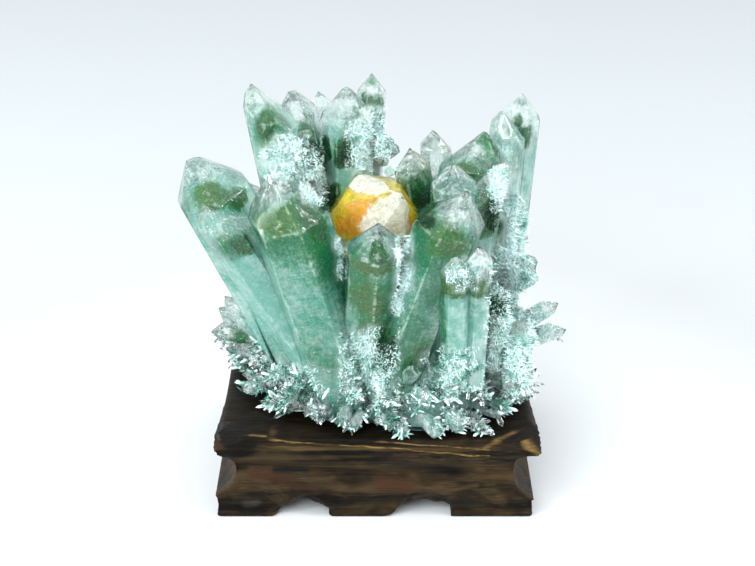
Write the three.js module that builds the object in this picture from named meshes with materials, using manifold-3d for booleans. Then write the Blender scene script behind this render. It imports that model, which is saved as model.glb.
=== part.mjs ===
// A cluster of quartz points with green dust inside them and one amber point among them,
// resting on a carved block of dark wood. Millimetres, +Z up, the front towards -Y.
// The origin is on the ground under the middle of the stand.
import * as THREE from 'three';
import { mergeVertices } from 'three/addons/utils/BufferGeometryUtils.js';
import Module from 'manifold-3d';

const wasm = await Module();
wasm.setup();

// Driving dimensions of the stand
const STAND_DEPTH = 80;
const STAND_TOP = 29;
const EAR_HALF_WIDTH = 53.2;
const TOP_HALF_WIDTH = 50.8;
const EAR_TOP = 27.6;
const EAR_BOTTOM = 21.2;
const SIDE_HOLLOW = { depth: 1.9, halfLength: 33 };
const HOLLOW_STEPS = 8;
const BAR_SPARE = 20;
const FOOT_TOP = 8.2;
const FOOT_LEFT = -53;
const FOOT_RIGHT = 51.2;
const LEFT_COVE = { x: -46.6, middle: 15.6, lower: 11.5, upper: 19.8, earX: -49 };
const RIGHT_COVE = { x: 44.6, middle: 15, lower: 9.5, upper: 20.6, earX: 48.5 };
const EDGE = 1;
const TOP_ROLL = 0.5;

// The arches under the stand: their ends, how high they rise, and how long their slanted
// left shoulders and their tight right corners are
const LEFT_ARCH = { from: -33.8, to: -16.2, rise: 3.8, shoulder: 7.5, corner: 3.2 };
const RIGHT_ARCH = { from: 2.4, to: 24, rise: 3.3, shoulder: 10, corner: 3.6 };

// The hollows carved in the front and back above the arches
const LEFT_MOUTH = { middle: -24.2, halfSize: [9.5, 3.2, 7.2] };
const RIGHT_MOUTH = { middle: 15.5, halfSize: [8.8, 3.6, 10] };

// The slanted corners of the top: which corner, how far the slant reaches along X and along
// Y on the top, and how far down it runs at the corner
const CORNERS = [
  { sideX: 1, sideY: -1, alongX: 17, alongY: 12, drop: 4.6 },
  { sideX: -1, sideY: -1, alongX: 11, alongY: 9, drop: 3.4 },
  { sideX: 1, sideY: 1, alongX: 11, alongY: 11, drop: 3.6 },
  { sideX: -1, sideY: 1, alongX: 12, alongY: 10, drop: 3.6 },
];

// How far the front stands in from the widest line at each height, from the foot to the top
const SIDE_PROFILE = [
  { inset: 0.8, height: 0 },
  { inset: 0, height: 1 },
  { inset: 0, height: 8 },
  { inset: 0.7, height: 12 },
  { inset: 1.6, height: 16 },
  { inset: 1.2, height: 20 },
  { inset: 0.2, height: 23 },
  { inset: 0, height: 25.5 },
  { inset: 0.5, height: 27.8 },
  { inset: 2, height: STAND_TOP },
];
const SIDE_MOUTH = { halfWidth: 17, rise: 4.2, reach: 9 };

// Driving dimensions of the cluster
const REST_GAP = 0.3;
const CLUSTER_BOTTOM = STAND_TOP + REST_GAP;
const POINT_SLOPE = THREE.MathUtils.degToRad(38.2);
const FACE_VARIATION = 0.16;
const TIP_VARIATION = 0.06;
const PRISM_FACES = 6;
const MATRIX = { middle: [2, 0, 32], halfSize: [44, 34, 36], skew: 0.13 };

// Each big point: foot, middle of the crown where the end faces start, tip, width across
// the flats, and the turn of its first face from the front, in degrees.
const POINTS = {
  leftLeaning: { foot: [-20, -6, 34], crown: [-52, -3, 98], tip: [-61, -1, 113], width: 23, roll: -14 },
  leftLower: { foot: [-14, -13, 33], crown: [-49, -15, 94], tip: [-56, -14, 101], width: 16, roll: 8 },
  frontLeftTall: { foot: [-8, -17, 32], crown: [-28, -25, 104], tip: [-33, -24, 117], width: 24, roll: -10 },
  backLeft: { foot: [-21, 4, 50], crown: [-34, 10, 120], tip: [-41, 12, 132], width: 16, roll: 12 },
  backLeftInner: { foot: [-14, 8, 56], crown: [-27, 16, 117], tip: [-29, 20, 128], width: 17, roll: 25 },
  backLeftSmall: { foot: [-11, 22, 65], crown: [-19, 32, 116], tip: [-20, 34, 122], width: 7, roll: 0 },
  backMiddleTip: { foot: [-5, 12, 54], crown: [-2, 24, 124], tip: [-2, 26, 131], width: 10, roll: 20 },
  backMiddle: { foot: [-9, 6, 57], crown: [-10, 17, 118], tip: [-10, 20, 129], width: 17, roll: 5 },
  amber: { foot: [-11, 14, 72], crown: [1, -8, 96], tip: [8, -21, 107], width: 26, roll: 20 },
  frontMiddle: { foot: [-4, -20, 44], crown: [-1, -31, 92], tip: [0, -34, 103], width: 17, roll: -24 },
  frontRightTall: { foot: [0, -20, 32], crown: [21, -27, 97], tip: [28, -28, 111], width: 22, roll: 14 },
  middleSmall: { foot: [17, -2, 75], crown: [11, -4, 109], tip: [10, -4, 116], width: 11, roll: 10 },
  middleClear: { foot: [20, 8, 67], crown: [19, 12, 110], tip: [18, 12, 116], width: 11, roll: 30 },
  rightUpper: { foot: [23, 0, 63], crown: [30, 3, 110], tip: [35, 4, 119], width: 18, roll: -8 },
  rightMiddle: { foot: [28, -6, 63], crown: [34, -8, 105], tip: [39, -8, 113], width: 15, roll: 15 },
  middleWhite: { foot: [26, -8, 67], crown: [24, -13, 107], tip: [23, -14, 115], width: 14, roll: 0 },
  rightTall: { foot: [38, 4, 50], crown: [42, 9, 116], tip: [40, 10, 124], width: 12, roll: 18 },
  rightTallBack: { foot: [41, 14, 50], crown: [47, 21, 117], tip: [48, 22, 125], width: 13, roll: -6 },
  frontTwinLeft: { foot: [25, -30, 44], crown: [24, -35, 86], tip: [24, -36, 93], width: 9, roll: 0 },
  frontTwinRight: { foot: [30, -28, 43], crown: [31, -33, 88], tip: [31, -34, 95], width: 9, roll: 22 },
  rightShort: { foot: [37, -20, 46], crown: [38, -25, 71], tip: [38, -26, 78], width: 9, roll: 5 },
  rightRound: { foot: [39, -14, 41], crown: [48, -18, 57], tip: [50, -19, 62], width: 11, roll: 0 },
  rightDown: { foot: [44, -20, 57], crown: [45, -26, 43], tip: [45, -28, 36], width: 10, roll: 0 },
  rightTipUpper: { foot: [34, 0, 41], crown: [57, 2, 56], tip: [61, 2, 58], width: 6, roll: 0 },
  rightTipLower: { foot: [34, -2, 40], crown: [58, 0, 48], tip: [64, 0, 49], width: 6, roll: 10 },
  leftTipUpper: { foot: [-38, 2, 44], crown: [-48, 5, 55], tip: [-52, 6, 59], width: 8, roll: 0 },
  leftTipMiddle: { foot: [-38, 0, 47], crown: [-50, 2, 54], tip: [-54, 2, 56], width: 7, roll: 0 },
  leftTipLower: { foot: [-38, 0, 46], crown: [-52, 3, 46], tip: [-57, 4, 46], width: 7, roll: 15 },
  leftBlunt: { foot: [-34, 0, 42], crown: [-47, 0, 42], tip: [-51, 0, 41], width: 7, roll: 0 },
  leftLow: { foot: [-26, -12, 38], crown: [-39, -12, 35], tip: [-43, -12, 33], width: 7, roll: 0 },
  leftDown: { foot: [-26, -18, 39], crown: [-30, -24, 33], tip: [-31, -26, 31], width: 6, roll: 0 },
  behindLeft: { foot: [-24, 14, 44], crown: [-42, 33, 79], tip: [-46, 38, 88], width: 17, roll: 10 },
  behindMiddle: { foot: [-4, 16, 44], crown: [-10, 36, 92], tip: [-11, 40, 102], width: 18, roll: 30 },
  behindRight: { foot: [16, 16, 44], crown: [22, 36, 80], tip: [24, 41, 90], width: 16, roll: 0 },
  behindFarRight: { foot: [30, 14, 44], crown: [46, 32, 70], tip: [50, 37, 78], width: 13, roll: 20 },
  behindFarLeft: { foot: [-30, 10, 42], crown: [-48, 22, 61], tip: [-53, 26, 67], width: 12, roll: 5 },
  behindShortLeft: { foot: [-14, 18, 42], crown: [-22, 37, 56], tip: [-24, 42, 61], width: 11, roll: 0 },
  behindShortRight: { foot: [10, 20, 42], crown: [10, 38, 58], tip: [10, 43, 64], width: 12, roll: 15 },
};

// How far below its tip each blunt point is cut level
const BLUNT = {
  leftLeaning: 3,
  leftLower: 1,
  backLeftInner: 2,
  backMiddle: 2,
  amber: 2,
  rightUpper: 1,
};

// Rings of little points around the base: how many, how far out and how high their feet
// are, how steeply they stand, and their lengths and widths.
const SKIRT_RINGS = [
  { count: 38, outward: 0.84, footHeight: 34, steepness: -4, length: [11, 15], width: [4, 6] },
  { count: 26, outward: 0.84, footHeight: 40, steepness: 14, length: [9, 14], width: [4, 6] },
  { count: 16, outward: 0.76, footHeight: 45, steepness: 36, length: [10, 14], width: [4, 6] },
];

// Banks of little points that grew on the sides of the big ones: middle of the bank,
// half its size, the way the points face, and how many there are.
const BANKS = [
  { middle: [-26, 3, 101], halfSize: [6, 3, 7], facing: [0.1, -0.6, 0.8], count: 7 },
  { middle: [1, 17, 104], halfSize: [3, 3, 9], facing: [0.4, -0.5, 0.8], count: 5 },
  { middle: [43, 2, 60], halfSize: [3, 5, 12], facing: [0.8, -0.5, 0.4], count: 9 },
  { middle: [2, -20, 56], halfSize: [4, 4, 8], facing: [0.1, -0.9, 0.4], count: 4 },
];
const BANK_POINT = { length: [7, 11], width: [4, 5.5], spread: 0.4 };

// How much the little points of the rings stray: along the ring as a share of the gap to the
// next, in height, in steepness in degrees, and in heading in radians
const SKIRT_STRAY = { along: 0.7, height: 4, steepness: 24, heading: 0.5 };
const FULL_TURN = 2 * Math.PI;

// The rock's surface swells and shrinks by this share of its size
const LUMP_SHARE = 0.07;

const SEED = 4107;

// Random numbers that come out the same on every run
function seededRandom(seed) {
  let state = seed;
  return () => {
    state = (state * 16807) % 2147483647;
    return state / 2147483647;
  };
}

function between([low, high], random) {
  return low + (high - low) * random();
}

// A closed geometry as a solid that can be joined and cut
function toSolid(geometry) {
  geometry.deleteAttribute('normal');
  geometry.deleteAttribute('uv');
  const merged = mergeVertices(geometry, 1e-4);
  return new wasm.Manifold(new wasm.Mesh({
    numProp: 3,
    vertProperties: new Float32Array(merged.attributes.position.array),
    triVerts: new Uint32Array(merged.index.array),
  }));
}

function toMesh(name, solid, material) {
  const { vertProperties, triVerts } = solid.getMesh();
  const geometry = new THREE.BufferGeometry();
  geometry.setAttribute('position', new THREE.BufferAttribute(new Float32Array(vertProperties), 3));
  geometry.setIndex(new THREE.BufferAttribute(new Uint32Array(triVerts), 1));
  geometry.computeVertexNormals();
  const mesh = new THREE.Mesh(geometry, material);
  mesh.name = name;
  return mesh;
}

// Keeps what lies behind the plane through a point, on the side away from its normal
function cutBeyond(solid, normal, point) {
  return solid.trimByPlane(normal.clone().negate().toArray(), -normal.dot(point));
}

// The two directions across an axis: the first faces the front as squarely as it can
function acrossAxis(axis) {
  const front = new THREE.Vector3(0, -1, 0);
  const toFront = front.addScaledVector(axis, -front.dot(axis)).normalize();
  const toSide = new THREE.Vector3().crossVectors(axis, toFront);
  return [toFront, toSide];
}

// One quartz point: six prism faces around its axis, and three or six end faces near its tip
function quartzPoint({ foot, crown, tip, width, roll, blunt = 0, endFaces = PRISM_FACES }, random) {
  const start = new THREE.Vector3(...foot);
  const end = new THREE.Vector3(...tip);
  const axis = new THREE.Vector3(...crown).sub(start).normalize();
  const [toFront, toSide] = acrossAxis(axis);
  const length = end.clone().sub(start).dot(axis);

  const blank = new THREE.BoxGeometry(2 * width, 2 * width, length + width);
  blank.translate(0, 0, (length + width) / 2);
  const stance = new THREE.Matrix4().makeBasis(toSide, toFront.clone().negate(), axis);
  blank.applyMatrix4(stance.setPosition(start));
  let solid = toSolid(blank);

  for (let face = 0; face < PRISM_FACES; face += 1) {
    const angle = THREE.MathUtils.degToRad(roll + face * 360 / PRISM_FACES);
    const outward = toFront.clone().multiplyScalar(Math.cos(angle));
    outward.addScaledVector(toSide, Math.sin(angle));
    const reach = width / 2 * (1 - FACE_VARIATION * random());
    solid = cutBeyond(solid, outward, start.clone().addScaledVector(outward, reach));

    const inset = width * TIP_VARIATION * random();
    if (face % (PRISM_FACES / endFaces) === 0) {
      const slope = axis.clone().multiplyScalar(Math.sin(POINT_SLOPE));
      slope.addScaledVector(outward, Math.cos(POINT_SLOPE));
      solid = cutBeyond(solid, slope, end.clone().addScaledVector(slope, -inset));
    }
  }
  if (blunt > 0) {
    const level = end.clone().setZ(end.z - blunt);
    solid = cutBeyond(solid, new THREE.Vector3(0, 0, 1), level);
  }
  return solid;
}

// A small point that stands on a foot and faces one way
function littlePoint(foot, facing, length, width, random) {
  const tip = new THREE.Vector3(...foot).addScaledVector(facing, length).toArray();
  const crown = new THREE.Vector3(...foot).addScaledVector(facing, length / 2).toArray();
  return quartzPoint({ foot, crown, tip, width, roll: 60 * random(), endFaces: 3 }, random);
}

// The skirt of little points that leans out all around the base
function skirtPoints(random) {
  const points = [];
  const [middleX, middleY] = MATRIX.middle;
  const [halfX, halfY] = MATRIX.halfSize;
  for (const ring of SKIRT_RINGS) {
    for (let index = 0; index < ring.count; index += 1) {
      const turn = (index + SKIRT_STRAY.along * random()) / ring.count * FULL_TURN;
      const outward = ring.outward * (1 - MATRIX.skew * Math.sin(2 * turn));
      const foot = [
        middleX + outward * halfX * Math.cos(turn),
        middleY + outward * halfY * Math.sin(turn),
        ring.footHeight + SKIRT_STRAY.height * (random() - 0.5),
      ];
      const steepness = ring.steepness + SKIRT_STRAY.steepness * (random() - 0.5);
      const lift = THREE.MathUtils.degToRad(steepness);
      const heading = turn + SKIRT_STRAY.heading * (random() - 0.5);
      const facing = new THREE.Vector3(
        Math.cos(lift) * Math.cos(heading), Math.cos(lift) * Math.sin(heading), Math.sin(lift));
      const length = between(ring.length, random);
      points.push(littlePoint(foot, facing, length, between(ring.width, random), random));
    }
  }
  return points;
}

// Little points that grew in banks on the sides of the big ones
function bankPoints(random) {
  const points = [];
  for (const bank of BANKS) {
    for (let index = 0; index < bank.count; index += 1) {
      const foot = bank.middle.map((value, side) => value + bank.halfSize[side] * (2 * random() - 1));
      const stray = () => BANK_POINT.spread * (2 * random() - 1);
      const facing = new THREE.Vector3(...bank.facing.map((value) => value + stray())).normalize();
      const length = between(BANK_POINT.length, random);
      points.push(littlePoint(foot, facing, length, between(BANK_POINT.width, random), random));
    }
  }
  return points;
}

// The lumpy rock that the points grew from
function matrixLump() {
  const lump = new THREE.SphereGeometry(1, 20, 12);
  const place = lump.attributes.position;
  const [halfX, halfY, halfZ] = MATRIX.halfSize;
  for (let index = 0; index < place.count; index += 1) {
    const x = place.getX(index);
    const y = place.getY(index);
    const z = place.getZ(index);
    const lumps = LUMP_SHARE * (1 + Math.sin(5 * x + 2 * z) * Math.cos(4 * y - 3 * z));
    const swell = 1 - lumps - 2 * MATRIX.skew * x * y;
    place.setXYZ(index, x * halfX * swell, y * halfY * swell, z * halfZ * swell);
  }
  lump.translate(...MATRIX.middle);
  return toSolid(lump);
}

// The largest skin of a solid, without the closed pockets that are left between points
function outerSkin(solid) {
  const parts = solid.decompose();
  return parts.reduce((largest, part) => (part.volume() > largest.volume() ? part : largest));
}

function quartzCluster() {
  const random = seededRandom(SEED);
  const points = Object.entries(POINTS).map(
    ([name, point]) => quartzPoint({ ...point, blunt: BLUNT[name] }, random));
  const grown = [matrixLump(), ...points, ...skirtPoints(random), ...bankPoints(random)];
  const joined = grown.reduce((whole, piece) => whole.add(piece));
  const down = new THREE.Vector3(0, 0, -1);
  return outerSkin(cutBeyond(joined, down, new THREE.Vector3(0, 0, CLUSTER_BOTTOM)));
}

// An arch between two feet: a slanted shoulder, a level middle and a tight corner
function arch(outline, { from, to, rise, shoulder, corner }) {
  outline.lineTo(from, 0);
  outline.bezierCurveTo(from + shoulder / 2, rise / 4, from + shoulder / 2, rise, from + shoulder, rise);
  outline.lineTo(to - corner, rise);
  outline.quadraticCurveTo(to - corner / 4, rise, to, 0);
}

// The stand's outline from the front: feet, two arches, end coves, ears and top
function standFront() {
  const ear = EAR_HALF_WIDTH;
  const top = TOP_HALF_WIDTH;
  const outline = new THREE.Shape();
  outline.moveTo(FOOT_LEFT + EDGE, 0);
  arch(outline, LEFT_ARCH);
  arch(outline, RIGHT_ARCH);
  outline.lineTo(FOOT_RIGHT - EDGE, 0);
  outline.lineTo(FOOT_RIGHT, EDGE);
  outline.lineTo(FOOT_RIGHT, FOOT_TOP - 1.5 * EDGE);
  outline.quadraticCurveTo(RIGHT_COVE.x, RIGHT_COVE.lower, RIGHT_COVE.x, RIGHT_COVE.middle);
  outline.quadraticCurveTo(RIGHT_COVE.x, RIGHT_COVE.upper, RIGHT_COVE.earX, EAR_BOTTOM);
  outline.lineTo(ear - EDGE, EAR_BOTTOM);
  outline.lineTo(ear, EAR_BOTTOM + EDGE);
  outline.lineTo(ear, EAR_TOP - TOP_ROLL);
  outline.lineTo(ear - TOP_ROLL, EAR_TOP);
  outline.lineTo(top + TOP_ROLL, EAR_TOP + TOP_ROLL / 2);
  outline.lineTo(top - TOP_ROLL, STAND_TOP);
  outline.lineTo(-top + TOP_ROLL, STAND_TOP);
  outline.lineTo(-top - TOP_ROLL, EAR_TOP + TOP_ROLL / 2);
  outline.lineTo(-ear + TOP_ROLL, EAR_TOP);
  outline.lineTo(-ear, EAR_TOP - TOP_ROLL);
  outline.lineTo(-ear, EAR_BOTTOM + EDGE);
  outline.lineTo(-ear + EDGE, EAR_BOTTOM);
  outline.lineTo(LEFT_COVE.earX, EAR_BOTTOM - TOP_ROLL);
  outline.quadraticCurveTo(LEFT_COVE.x, LEFT_COVE.upper, LEFT_COVE.x, LEFT_COVE.middle);
  outline.quadraticCurveTo(LEFT_COVE.x, LEFT_COVE.lower, FOOT_LEFT, FOOT_TOP);
  outline.lineTo(FOOT_LEFT, EDGE);
  outline.closePath();
  return outline;
}

// The stand's outline from the side: apron, shallow cove and rolled top edge, front and back alike
function standSide() {
  const half = STAND_DEPTH / 2;
  const profile = SIDE_PROFILE.map(({ inset, height }) => [half - inset, height]);
  const outline = new THREE.Shape();
  outline.moveTo(-profile[0][0], 0);
  profile.forEach(([y, z]) => outline.lineTo(y, z));
  profile.slice(1).reverse().forEach(([y, z]) => outline.lineTo(-y, z));
  outline.closePath();
  return outline;
}

// A long bar with an outline as its section, standing for one direction of the stand
function bar(outline, length, curveSegments) {
  const settings = { depth: length, bevelEnabled: false, curveSegments };
  const geometry = new THREE.ExtrudeGeometry(outline, settings);
  geometry.translate(0, 0, -length / 2);
  return geometry;
}

// An oval scoop, for the mouths of the arches and under the ends
function mouthScoop(middle, halfSize) {
  const scoop = new THREE.SphereGeometry(1, 20, 12);
  scoop.scale(...halfSize);
  scoop.translate(...middle);
  return toSolid(scoop);
}

// A long shallow hollow along one end of the top slab, which leaves the ears standing out
function sideHollow(side) {
  const { depth, halfLength } = SIDE_HOLLOW;
  const radius = (halfLength ** 2 + depth ** 2) / (2 * depth);
  const hollow = new THREE.Shape();
  hollow.moveTo(1, -halfLength);
  hollow.lineTo(0, -halfLength);
  for (let step = 1; step <= HOLLOW_STEPS; step += 1) {
    const y = halfLength * (2 * step / HOLLOW_STEPS - 1);
    hollow.lineTo(radius - depth - Math.sqrt(radius ** 2 - y ** 2), y);
  }
  hollow.lineTo(1, halfLength);
  hollow.closePath();
  const upright = { depth: STAND_TOP, bevelEnabled: false, curveSegments: 1 };
  const geometry = new THREE.ExtrudeGeometry(hollow, upright);
  geometry.translate(EAR_HALF_WIDTH, 0, EAR_BOTTOM - 2 * EDGE);
  if (side < 0) {
    geometry.rotateZ(Math.PI);
  }
  return toSolid(geometry);
}

// One corner of the top, cut down to the front and the end at a slant
function cutCorner(solid, { sideX, sideY, alongX, alongY, drop }) {
  const x = sideX * TOP_HALF_WIDTH;
  const y = sideY * STAND_DEPTH / 2;
  const corner = new THREE.Vector3(x, y, STAND_TOP - drop);
  const onFront = new THREE.Vector3(x - sideX * alongX, y, STAND_TOP);
  const onEnd = new THREE.Vector3(x, y - sideY * alongY, STAND_TOP);
  const normal = new THREE.Vector3().crossVectors(onFront.sub(corner), onEnd.sub(corner)).normalize();
  return cutBeyond(solid, normal.z < 0 ? normal.negate() : normal, corner);
}

function woodStand() {
  const acrossFront = bar(standFront(), STAND_DEPTH + BAR_SPARE, 7).rotateX(Math.PI / 2);
  const alongSide = bar(standSide(), 2 * EAR_HALF_WIDTH + BAR_SPARE, 1);
  alongSide.rotateX(Math.PI / 2).rotateZ(Math.PI / 2);
  let solid = toSolid(acrossFront).intersect(toSolid(alongSide));

  for (const mouth of [LEFT_MOUTH, RIGHT_MOUTH]) {
    for (const side of [-1, 1]) {
      const middle = [mouth.middle, side * STAND_DEPTH / 2, 0];
      solid = solid.subtract(mouthScoop(middle, mouth.halfSize));
    }
  }
  for (const end of [FOOT_LEFT, FOOT_RIGHT]) {
    const halfSize = [SIDE_MOUTH.reach, SIDE_MOUTH.halfWidth, SIDE_MOUTH.rise];
    solid = solid.subtract(mouthScoop([end, 0, 0], halfSize));
  }
  for (const side of [-1, 1]) {
    solid = solid.subtract(sideHollow(side));
  }
  return CORNERS.reduce(cutCorner, solid);
}

const woodMaterial = new THREE.MeshStandardMaterial({ color: 0x2e2119, roughness: 0.5, metalness: 0 });
const quartzMaterial = new THREE.MeshStandardMaterial({ color: 0x9fd0bd, roughness: 0.12, metalness: 0 });

const group = new THREE.Group();
group.add(toMesh('wood_stand', woodStand(), woodMaterial));
group.add(toMesh('quartz_cluster', quartzCluster(), quartzMaterial));

export default group;
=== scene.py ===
"""A cluster of quartz points with green dust inside, one amber point, on a carved dark-wood stand.

The quartz is clear at the tips. Under each clear tip stands a core of dusty quartz, green where
the dust settled on an earlier growth stage, and mint or teal below. White veils lie close under
the faces, and fine needles fill the gaps. The shapes are worked out in millimetres. The meshes,
the finishes and the studio are in metres.
"""

import logging
import math
from collections.abc import Iterable
from dataclasses import dataclass, field
from enum import Enum

import bpy
import numpy as np
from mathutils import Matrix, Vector, noise
from mathutils.bvhtree import BVHTree
from mathutils.kdtree import KDTree


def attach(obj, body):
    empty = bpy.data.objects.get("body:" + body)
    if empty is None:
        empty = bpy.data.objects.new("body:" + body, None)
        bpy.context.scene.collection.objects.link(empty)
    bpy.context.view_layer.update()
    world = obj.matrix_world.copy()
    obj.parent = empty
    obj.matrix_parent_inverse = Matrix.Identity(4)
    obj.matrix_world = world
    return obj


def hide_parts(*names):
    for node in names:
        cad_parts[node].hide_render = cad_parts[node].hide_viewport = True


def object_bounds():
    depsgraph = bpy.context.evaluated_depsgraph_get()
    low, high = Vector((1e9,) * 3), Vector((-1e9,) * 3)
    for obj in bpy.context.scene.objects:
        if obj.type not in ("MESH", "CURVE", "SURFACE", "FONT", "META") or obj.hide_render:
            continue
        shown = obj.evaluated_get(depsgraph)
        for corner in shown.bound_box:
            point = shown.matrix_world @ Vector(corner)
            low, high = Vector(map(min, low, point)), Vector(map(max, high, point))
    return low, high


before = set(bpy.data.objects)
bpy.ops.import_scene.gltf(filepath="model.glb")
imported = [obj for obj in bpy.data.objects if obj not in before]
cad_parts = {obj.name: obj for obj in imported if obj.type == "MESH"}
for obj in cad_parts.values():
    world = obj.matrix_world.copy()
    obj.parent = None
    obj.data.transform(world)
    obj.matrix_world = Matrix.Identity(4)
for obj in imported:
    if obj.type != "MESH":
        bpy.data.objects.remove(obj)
CAD_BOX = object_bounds()

MM = 0.001
BODY = "root"
STAND_NODE = "wood_stand"
CLUSTER_NODE = "quartz_cluster"
CLUSTER_BOTTOM = 29.3
FAR_FROM_EDGE = 10.0
LOG = logging.getLogger("quartz_cluster")

Colour = tuple[float, float, float]
Triple = tuple[float, float, float]
Faces = list[list[int]]
# A noise texture: its waves in a unit of length, how many finer layers it has and how strong they are
Texture = tuple[float, float, float]
# Ragged clouds: how many in a metre, and the noise levels where a cloud starts and where it is full
Ragged = tuple[float, float, float]


class Stage(Enum):
    """How a quartz point looks inside."""

    GREEN = "green dust under a clear tip"
    AMBER = "iron-stained, orange to yellow"


class Dust(Enum):
    """What a cloud inside a point is made of. The value is the name of its mesh attribute."""

    MOSS = "moss"
    OLIVE = "olive"
    DEEP = "deep"
    MILK = "milk"
    ORANGE = "orange"


class WearShadeAndHighlight(Enum):
    """Worn places of the stand's lacquer, with a painted highlight in the gold ones and painted shade in the
    dark ones; each is a mask on its mesh.
    """

    GOLD = "worn_gold"
    BROWN = "worn_brown"
    RED = "worn_red"
    PALE = "worn_pale"
    DARK = "worn_dark"


class Layer(Enum):
    """Where dusty quartz lies in a point."""

    SHELL = "close under the faces"
    CORE = "deep inside"


@dataclass(frozen=True)
class Point:
    """One quartz point, in millimetres.

    Args:
        foot: where its axis starts, in the rock.
        crown: the middle of the section where the end faces start.
        tip: where the end faces meet.
        width: across the prism's flats.
        roll: turn of the first face from the front, in degrees.
        blunt: how far below the tip it is cut level.
        clear: how much of the tip has no dust in it.
        dust: how dark the dust at the top of the core is, from 0 to 1.
        tone: the core's own colour, from 0, pale mint, to 1, deep teal.
        frost: how white its veils are, from 0 to 1.
        stage: what the inside looks like.
    """

    foot: Triple
    crown: Triple
    tip: Triple
    width: float
    roll: float
    blunt: float = 0.0
    clear: float = 8.0
    dust: float = 0.5
    tone: float = 0.4
    frost: float = 0.5
    stage: Stage = Stage.GREEN


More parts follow.
